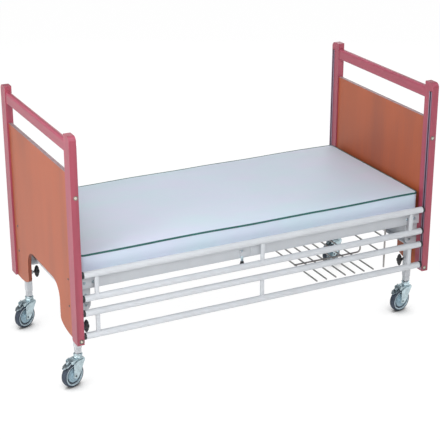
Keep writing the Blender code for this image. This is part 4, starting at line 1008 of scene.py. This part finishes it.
class BED_OT_castors(bpy.types.Operator):
    """Model the castors' wheels and finish their forks and brake pedals"""

    bl_idname = "bed.castors"
    bl_label = "Castors"

    # The barrel of each brake pedal, and the hole in its end
    barrel_radius = 0.0088
    barrel_lift = 0.0046        # above the tongue
    hole_share = 0.62           # of the barrel's radius
    hole_depth = 0.008

    def execute(self, context):
        metal = context.scene.bed_metal
        settings = context.scene.bed_castors
        finishes = {
            "tyre": tyre_rubber("castor_tyre", settings.tyre),
            "ring": moulded_plastic("castor_ring", settings.ring, roughness=0.35),
            "channel": moulded_plastic("castor_channel", shaded(settings.tyre, 0.8), roughness=0.5),
            "hub": moulded_plastic("castor_hub", settings.hub, roughness=0.36),
            "fork": zinc_plate("fork_zinc", metal.fork, roughness=0.38),
            "bolt": zinc_plate("axle_bolt_steel", shaded(metal.zinc, 0.35), roughness=0.4),
            "pedal": zinc_plate("pedal_zinc", shaded(metal.zinc, 0.62), roughness=0.34),
            # A black cup painted as the shade inside each barrel's hole.
            "hole": moulded_plastic("pedal_hole_black", metal.black, roughness=0.6),
        }
        paint(finishes["fork"], *every("{end}_castor_fork_{side}"))
        joints = {joint["name"]: joint for joint in frame["joints"]}
        for name, joint in joints.items():
            if "_castor_roll_" in name:
                self.wheel(joint, finishes)
                brake = joints[name.replace("roll", "brake")]
                swivel = joints[name.replace("roll", "swivel")]
                self.cheeks(joint, swivel, finishes)
                self.pedal(brake, swivel, finishes)
        return {"FINISHED"}

    def cheeks(self, roll, swivel, finishes):
        """Broad pressed plates on both sides of a fork, with the axle's bolt in each."""
        thickness = 0.0018
        corner = 0.007
        rounding = 0.0005
        bolt_radius = 0.0052
        bolt_height = 0.003
        fork = roll["parent"]
        axle = Vector(roll["pos_m"])
        inward, across, turn = self.directions(axle, Vector(swivel["pos_m"]))
        half_width = max(
            abs((vertex.co - axle).dot(across)) for vertex in frame["nodes"][fork].data.vertices
            if vertex.co.z < axle.z)
        outline = [                 # from the axle, towards the stem and up
            (-0.011, 0.064), (-0.011, -0.006), (0.002, -0.016), (0.018, -0.010),
            (0.034, 0.016), (0.054, 0.056), (0.058, 0.076), (0.016, 0.076)]
        plates = bmesh.new()
        bolts = bmesh.new()
        for side in (-1, 1):
            inner = half_width + FIT
            start = inner if side > 0 else -inner - thickness
            place = Matrix.Translation(axle) @ turn @ Matrix.Translation((0, start, 0))
            add_plate(plates, outline, thickness, place, corner=corner, bevel=rounding)
            outer = axle + across * side * (inner + thickness)
            head = dome_head(bolt_radius, height=bolt_height)
            add_turned(bolts, head, pointing(across * side, outer), steps=24)
        new_piece(f"{fork}_cheeks", plates, finishes["fork"], fork)
        new_piece(f"{fork}_axle_bolts", bolts, finishes["bolt"], fork)

    def directions(self, start, end):
        """The level direction from one point to another, the one across it, and the turn."""
        along = end - start
        along.z = 0
        along.normalize()
        up = Vector((0, 0, 1))
        across = up.cross(along)
        return along, across, Matrix((along, across, up)).transposed().to_4x4()

    def pedal(self, brake, swivel, finishes):
        """A brake pedal: a barrel on the pin, a tongue to a round tread, and a release tab."""
        node = brake["child"]
        pin = Vector(brake["pos_m"])
        out, across, turn = self.directions(Vector(swivel["pos_m"]), pin)
        corners = [vertex.co - pin for vertex in frame["nodes"][node].data.vertices]
        tread_x = max(corner.dot(out) for corner in corners)
        tread_z = min(corner.z for corner in corners)
        tab = max(corners, key=lambda corner: corner.z)
        half_width = max(abs(corner.dot(across)) for corner in corners)
        length = math.hypot(tread_x, tread_z)
        upright = Matrix.Translation(pin) @ turn
        tilted = upright @ Matrix.Rotation(math.atan2(-tread_z, tread_x), 4, "Y")
        axis = Matrix.Translation((0, 0, self.barrel_lift)) @ pointing((1, 0, 0))
        sloping = bmesh.new()
        self.tongue(sloping, length, half_width)
        self.barrel(sloping, length * 0.50, axis)
        steel = bmesh.new()
        merge(steel, sloping, tilted)
        ear = bmesh.new()
        add_rod(
            ear, (0.002, 0, 0), (tab.dot(out), 0, tab.z), 0.0058, segments=20,
            end_radius=0.0022, bevel=0.0006)
        merge(steel, ear, upright)
        new_piece(f"{node}_lever", steel, finishes["pedal"], node, [node])
        # Painted shade: a black cup lines the barrel's hole.
        shade_cup = bmesh.new()
        self.shade_cup(shade_cup, length * 0.50, axis)
        shape = bmesh.new()
        merge(shape, shade_cup, tilted)
        new_piece(f"{node}_hole", shape, finishes["hole"], node)

    def tongue(self, shape, length, half_width):
        """A flat tongue that narrows to a round tread."""
        top = -0.0010
        bottom = -0.0034
        rounding = 0.0009
        tread_height = 0.0024       # above and below its middle
        add_block(
            shape, (0.004, -half_width, bottom), (length * 0.72, half_width, top), bevel=rounding)
        add_block(
            shape, (length * 0.55, -half_width * 0.5, bottom),
            (length * 0.92, half_width * 0.5, top), bevel=rounding)
        radius = half_width * 0.62
        rim = tread_height - 0.001
        tread = [
            (0, tread_height), (radius * 0.85, tread_height), (radius, rim),
            (radius, -rim), (radius * 0.85, -tread_height), (0, -tread_height)]
        add_turned(shape, tread, Matrix.Translation((length - radius, 0, -0.0012)), steps=28)

    def barrel(self, shape, end, axis):
        """A barrel with a hole in its outer end."""
        start = -0.004
        radius = self.barrel_radius
        hole = radius * self.hole_share
        floor = end - self.hole_depth
        profile = [
            (0, start), (radius * 0.9, start), (radius, start + 0.002),
            (radius, end - 0.001), (radius * 0.93, end), (hole, end), (hole, floor), (0, floor)]
        add_turned(shape, profile, axis, steps=28)

    def shade_cup(self, shape, end, axis):
        """A black cup inside the barrel's hole: painted shade for the hole's depth."""
        outer = self.barrel_radius * self.hole_share * 0.97
        inner = self.barrel_radius * self.hole_share * 0.9
        floor = end - self.hole_depth
        mouth = end - 0.0006
        cup = [
            (0, floor + 0.0004), (outer, floor + 0.0004), (outer, mouth),
            (inner, mouth), (inner, floor + 0.001), (0, floor + 0.001)]
        add_turned(shape, cup, axis, steps=24)

    def wheel(self, joint, finishes):
        """A tyre, a pale ring, a dark channel and a dished hub, turned round the axle."""
        node = joint["child"]
        low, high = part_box(node)
        centre = (low + high) / 2
        radius = (high.z - low.z) / 2
        half = 0.016                # of the tyre's width
        hub = radius * 0.60
        bore = 0.0053
        boss = 0.0140
        boss_reach = 0.0186
        web_reach = 0.0122
        place = pointing(joint["axis"], centre)
        profiles = {
            "tyre": [(radius * 0.845, half * 0.84), (radius * 0.865, half),
                     (radius * 0.91, half * 0.99), (radius * 0.965, half * 0.80),
                     (radius * 0.99, half * 0.48), (radius, half * 0.15)],
            "ring": [(radius * 0.735, half * 0.76), (radius * 0.75, half * 0.95),
                     (radius * 0.84, half * 1.0), (radius * 0.86, half * 0.88)],
            "channel": [(hub * 0.98, half * 0.52), (radius * 0.745, half * 0.58)],
            "hub": [(bore, boss_reach), (boss - 0.0015, boss_reach), (boss, boss_reach - 0.001),
                    (boss + 0.001, web_reach + 0.0016), (boss + 0.0035, web_reach),
                    (hub * 0.86, web_reach + 0.0006), (hub * 0.94, web_reach + 0.0016),
                    (hub * 0.99, web_reach), (hub, 0.0080)],
        }
        for part, profile in profiles.items():
            shape = bmesh.new()
            ring = profile + [(reach, -height) for reach, height in reversed(profile)]
            add_turned(shape, ring, place, steps=64, closed=True)
            stands_for = [node] if part == "tyre" else []
            new_piece(f"{node}_{part}", shape, finishes[part], node, stands_for)


class BED_OT_rack(bpy.types.Operator):
    """Finish the wire rack under the foot half"""

    bl_idname = "bed.rack"
    bl_label = "Wire rack"

    def execute(self, context):
        metal = context.scene.bed_metal
        paint(zinc_plate("rack_wire", metal.wire, roughness=0.36), "wire_rack")
        return {"FINISHED"}


class BED_OT_mattress(bpy.types.Operator):
    """Model the mattress as a padded, piped cover"""

    bl_idname = "bed.mattress"
    bl_label = "Mattress"

    def execute(self, context):
        settings = context.scene.bed_mattress
        low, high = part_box("mattress")
        crown = 0.010
        seam_height = 0.007
        seam_radius = 0.0022
        top = high.z - crown
        cover = coated_cover("mattress_cover", settings.cover)
        mattress = self.block(settings, low, (high.x, high.y, top), cover)
        self.swell(mattress, settings.swell)
        self.dents(mattress, low, high)
        finer = mattress.modifiers.new("finer", "SUBSURF")
        finer.levels = 1
        finer.render_levels = 1
        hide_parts("mattress")
        tape = piping_tape("piping_tape", settings.piping)
        radius = settings.piping_radius
        piping = self.welt(
            "mattress_piping", low, high, settings.corner, top - radius * 0.9, radius, tape)
        seam = self.welt(
            "mattress_bottom_seam", low, high, settings.corner, low.z + seam_height, seam_radius,
            cover)
        for piece in (mattress, piping, seam):
            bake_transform(piece)
        return {"FINISHED"}

    def block(self, settings, low, high, material):
        """A block with rounded corners, cut into even cells, its seams and underside held."""
        rim = 0.010
        low = Vector(low)
        size = Vector(high) - low
        centre = low + size / 2
        shape = bmesh.new()
        bmesh.ops.create_cube(
            shape, size=1.0, matrix=Matrix.Translation(centre) @ Matrix.Diagonal((*size, 1.0)))
        upright = [edge for edge in shape.edges if self.rise(edge) > rim]
        bevel_edges(shape, upright, settings.corner, segments=6)
        rims = [edge for edge in sharp_edges(shape, angle=1.2) if self.rise(edge) < 0.001]
        bevel_edges(shape, rims, 0.007, segments=2)
        for axis in range(3):
            count = max(int(size[axis] / settings.cell), 2)
            normal = Vector((0, 0, 0))
            normal[axis] = 1
            for step in range(1, count):
                place = centre.copy()
                place[axis] = low[axis] + size[axis] * step / count
                bmesh.ops.bisect_plane(
                    shape, geom=shape.verts[:] + shape.edges[:] + shape.faces[:],
                    plane_co=place, plane_no=normal, dist=0.0004)
        bmesh.ops.recalc_face_normals(shape, faces=shape.faces)
        mesh = bpy.data.meshes.new("mattress_body")
        shape.to_mesh(mesh)
        shape.free()
        mattress = mesh_piece("mattress_body", mesh, material, smooth=75)
        held = mattress.vertex_groups.new(name="held")
        for vertex in mesh.vertices:
            near_top = high[2] - vertex.co.z < rim and self.from_edge(vertex.co, low, high) < rim
            if near_top or vertex.co.z < low.z + rim:
                held.add([vertex.index], 1.0, "REPLACE")
        return mattress

    def rise(self, edge):
        """How much higher one end of an edge is than the other."""
        return abs((edge.verts[0].co - edge.verts[1].co).z)

    def from_edge(self, point, low, high):
        """How far a point is inside the block's outline, seen from above."""
        return min(point.x - low[0], high[0] - point.x, point.y - low[1], high[1] - point.y)

    def swell(self, mattress, most):
        """Press the cover out from inside with a cloth simulation, capped, and keep the shape."""
        frames = 20
        pressure = 4.0
        scene = bpy.context.scene
        before = [vertex.co.copy() for vertex in mattress.data.vertices]
        cloth = mattress.modifiers.new("cover", "CLOTH")
        cloth.settings.quality = 6
        cloth.settings.mass = 0.4
        cloth.settings.tension_stiffness = 40
        cloth.settings.compression_stiffness = 40
        cloth.settings.shear_stiffness = 20
        cloth.settings.bending_stiffness = 2
        cloth.settings.use_pressure = True
        cloth.settings.uniform_pressure_force = pressure
        cloth.settings.effector_weights.gravity = 0
        cloth.settings.vertex_group_mass = "held"
        cloth.point_cache.frame_start = 1
        cloth.point_cache.frame_end = frames
        for step in range(frames):
            scene.frame_set(step + 1)
        graph = bpy.context.evaluated_depsgraph_get()
        after = mattress.evaluated_get(graph).data.vertices
        moved = [place.co.copy() - rest for place, rest in zip(after, before)]
        mattress.modifiers.remove(cloth)
        scene.frame_set(1)
        for vertex, rest, move in zip(mattress.data.vertices, before, moved):
            length = move.length
            if length > 0:
                vertex.co = rest + move * (most * math.tanh(length / most) / length)

    def crown(self, mattress, low, high, top, rise):
        """A plain crowned top."""
        half_x = (high.x - low.x) / 2
        half_y = (high.y - low.y) / 2
        middle = (low + high) / 2
        for vertex in mattress.data.vertices:
            along = (vertex.co.x - middle.x) / half_x
            across = (vertex.co.y - middle.y) / half_y
            if vertex.co.z > top - 0.004:
                vertex.co.z += rise * max(1 - along ** 6, 0) * max(1 - across ** 4, 0)

    def wave(self, x, y):
        """How far the foam's unevenness lifts the top at a place."""
        return 0.0034 * noise.noise(Vector((x * 3.1, y * 2.2, 0.3)))

    def dents(self, mattress, low, high):
        """Shallow unevenness of the top, fading out down the sides."""
        middle = (low.z + high.z) / 2
        for vertex in mattress.data.vertices:
            share = min(max((vertex.co.z - middle) / (high.z - middle) * 1.4, 0), 1)
            vertex.co.z += share * self.wave(vertex.co.x, vertex.co.y)

    def welt(self, name, low, high, corner, height, radius, material):
        """A cord sewn round the mattress at a height."""
        half_x = (high.x - low.x) / 2 - radius * 0.25
        half_y = (high.y - low.y) / 2 - radius * 0.25
        middle = (low + high) / 2
        steps = 8
        corners = []
        for turn, (along, across) in enumerate(((1, 1), (-1, 1), (-1, -1), (1, -1))):
            centre = Vector((along * (half_x - corner), across * (half_y - corner)))
            for step in range(steps + 1):
                angle = math.pi / 2 * (turn + step / steps)
                corners.append(centre + corner * Vector((math.cos(angle), math.sin(angle))))
        path = []
        for start, end in zip(corners, corners[1:] + corners[:1]):
            count = max(int((end - start).length / 0.02), 1)
            path += [start.lerp(end, step / count) for step in range(count)]
        guide = self.cord(name, path, radius)
        for point in guide.data.splines[0].points:
            x, y = middle.x + point.co.x, middle.y + point.co.y
            lift = self.wave(x, y) if height > middle.z else 0
            point.co = (x, y, height + lift, 1)
        graph = bpy.context.evaluated_depsgraph_get()
        mesh = bpy.data.meshes.new_from_object(guide.evaluated_get(graph))
        bpy.data.objects.remove(guide)
        mesh.materials.clear()
        return mesh_piece(name, mesh, material, smooth=80)

    def cord(self, name, path, radius):
        """A closed round cord through points seen from above."""
        curve = bpy.data.curves.new(name, "CURVE")
        curve.dimensions = "3D"
        curve.bevel_depth = radius
        curve.bevel_resolution = 3
        spline = curve.splines.new("POLY")
        spline.points.add(len(path) - 1)
        for point, place in zip(spline.points, path):
            point.co = (place.x, place.y, 0, 1)
        spline.use_cyclic_u = True
        guide = bpy.data.objects.new(name, curve)
        bpy.context.scene.collection.objects.link(guide)
        return guide


class BED_OT_stage(bpy.types.Operator):
    """Make the floor, the soft light and the camera"""

    bl_idname = "bed.stage"
    bl_label = "Stage"

    # The place and size of each lamp
    lamps = {
        "key": ((-1.3, -4.8, 3.6), 3.0),
        "side": ((-4.0, -1.4, 1.9), 2.0),
        "top": ((-1.7, -0.4, 4.2), 3.2),
        "fill": ((5.4, -0.6, 1.9), 3.0),
        "back": ((2.6, 4.8, 2.4), 3.5),
    }

    def execute(self, context):
        settings = context.scene.bed_stage
        self.floor(settings)
        self.world(context.scene, settings)
        middle = (cad_box[0] + cad_box[1]) / 2
        for name, (place, size) in self.lamps.items():
            power = getattr(settings, f"{name}_power")
            self.lamp(f"{name}_light", place, middle, size, power)
        self.camera(context.scene, settings)
        context.scene.view_settings.view_transform = "Standard"
        return {"FINISHED"}

    def seen(self, graph):
        """1 for rays that look at the background, straight on or in a mirror."""
        rays = [
            graph.node("ShaderNodeLightPath", output=name)
            for name in ("Is Camera Ray", "Is Glossy Ray", "Is Transmission Ray")]
        return rays[0].largest(rays[1]).largest(rays[2])

    def floor(self, settings):
        """A wide pale floor that keeps the shadow, darkened near the wheels by a painted contact
        shadow, and lifted to white where it is seen.
        """
        # Painted contact shadow: within this distance of a wheel the floor's colour is darkened.
        shadow_reach = 0.15              # how far from a wheel the floor starts to darken
        shape = bmesh.new()
        bmesh.ops.create_grid(shape, x_segments=2, y_segments=2, size=40)
        bmesh.ops.translate(shape, vec=(0, 0, cad_box[0].z - 0.0005), verts=shape.verts)
        mesh = bpy.data.meshes.new("floor")
        shape.to_mesh(mesh)
        shape.free()
        graph = Graph("pale_floor")
        glow = graph.node("ShaderNodeEmission", None, {"Color": (1, 1, 1), "Strength": 1.05})
        plain = Value(graph, graph.shader.outputs[0])
        openness = graph.node(
            "ShaderNodeAmbientOcclusion", {"samples": 8}, {"Distance": shadow_reach}, output="AO")
        # Painted contact shadow: the floor's colour darkens to a deep grey where the occlusion
        # finds a wheel close by.
        under = shaded(settings.floor, 0.28)
        shade = graph.mix(under, tuple(settings.floor), openness.rise(0.3, 0.9))
        graph.finish(Base_Color=shade, Roughness=0.9, Specular_IOR_Level=0.1)
        # Painted shade too: the lift to white fades where the occlusion is low.
        lift = self.seen(graph) * settings.floor_glow * openness.rise(0.45, 0.97)
        mixed = graph.node("ShaderNodeMixShader", None, {0: lift, 1: plain, 2: glow})
        graph.put(graph.tree.nodes["Material Output"].inputs["Surface"], mixed)
        mesh_piece("floor", mesh, graph.material)

    def world(self, scene, settings):
        """A white background, and an even light from all round."""
        world = bpy.data.worlds.new("studio")
        world.use_nodes = True
        scene.world = world
        tree = world.node_tree
        sky = tree.nodes["Background"]
        sky.inputs["Color"].default_value = (1.0, 1.0, 1.0, 1)
        path = tree.nodes.new("ShaderNodeLightPath")
        strength = tree.nodes.new("ShaderNodeMix")
        strength.data_type = "FLOAT"
        strength.inputs["A"].default_value = settings.sky
        strength.inputs["B"].default_value = 1.0
        tree.links.new(path.outputs["Is Camera Ray"], strength.inputs["Factor"])
        tree.links.new(strength.outputs[0], sky.inputs["Strength"])

    def lamp(self, name, place, target, size, power):
        """A square soft light aimed at a point."""
        light = bpy.data.lights.new(name, "AREA")
        light.size = size
        light.energy = power
        lamp = bpy.data.objects.new(name, light)
        bpy.context.scene.collection.objects.link(lamp)
        lamp.location = place
        lamp.rotation_euler = (target - Vector(place)).to_track_quat("-Z", "Y").to_euler()

    def camera(self, scene, settings):
        """A long lens at the front left, looking down on the bed."""
        camera = bpy.data.cameras.new("camera")
        camera.lens = settings.camera_lens
        camera.sensor_width = 36
        view = bpy.data.objects.new("camera", camera)
        scene.collection.objects.link(view)
        view.location = settings.camera_place
        view.rotation_euler = (
            math.pi / 2 - settings.camera_pitch, 0, -settings.camera_yaw)
        scene.camera = view


class BED_PT_panel(bpy.types.Panel):
    """The bed's pieces in the sidebar"""

    bl_label = "Hospital bed"
    bl_space_type = "VIEW_3D"
    bl_region_type = "UI"
    bl_category = "Bed"

    def draw(self, context):
        for operator in OPERATORS:
            self.layout.operator(operator.bl_idname)
        for name in SETTINGS:
            box = self.layout.box()
            group = getattr(context.scene, name)
            for setting in group.bl_rna.properties.keys():
                if setting not in ("rna_type", "name"):
                    box.prop(group, setting)


SETTINGS = {
    "bed_boards": BoardSettings,
    "bed_metal": MetalSettings,
    "bed_castors": CastorSettings,
    "bed_mattress": MattressSettings,
    "bed_stage": StageSettings,
}
OPERATORS = (
    BED_OT_boards,
    BED_OT_runners,
    BED_OT_cot_sides,
    BED_OT_frame,
    BED_OT_legs,
    BED_OT_castors,
    BED_OT_rack,
    BED_OT_mattress,
    BED_OT_stage,
)


def register():
    """Make the settings, operators and panel known."""
    for group in SETTINGS.values():
        bpy.utils.register_class(group)
    for name, group in SETTINGS.items():
        setattr(bpy.types.Scene, name, bpy.props.PointerProperty(type=group))
    for operator in OPERATORS:
        bpy.utils.register_class(operator)
    bpy.utils.register_class(BED_PT_panel)


def unregister():
    """Take the panel, operators and settings away again."""
    bpy.utils.unregister_class(BED_PT_panel)
    for operator in reversed(OPERATORS):
        bpy.utils.unregister_class(operator)
    for name in SETTINGS:
        delattr(bpy.types.Scene, name)
    for group in reversed(list(SETTINGS.values())):
        bpy.utils.unregister_class(group)


def main():
    """Build every piece."""
    for old in list(bpy.data.objects):
        if old.type in {"CAMERA", "LIGHT"}:
            bpy.data.objects.remove(old)
    register()
    bpy.ops.bed.boards()
    bpy.ops.bed.runners()
    bpy.ops.bed.cot_sides()
    bpy.ops.bed.frame()
    bpy.ops.bed.legs()
    bpy.ops.bed.castors()
    bpy.ops.bed.rack()
    bpy.ops.bed.mattress()
    bpy.ops.bed.stage()


if __name__ == "__main__":
    main()
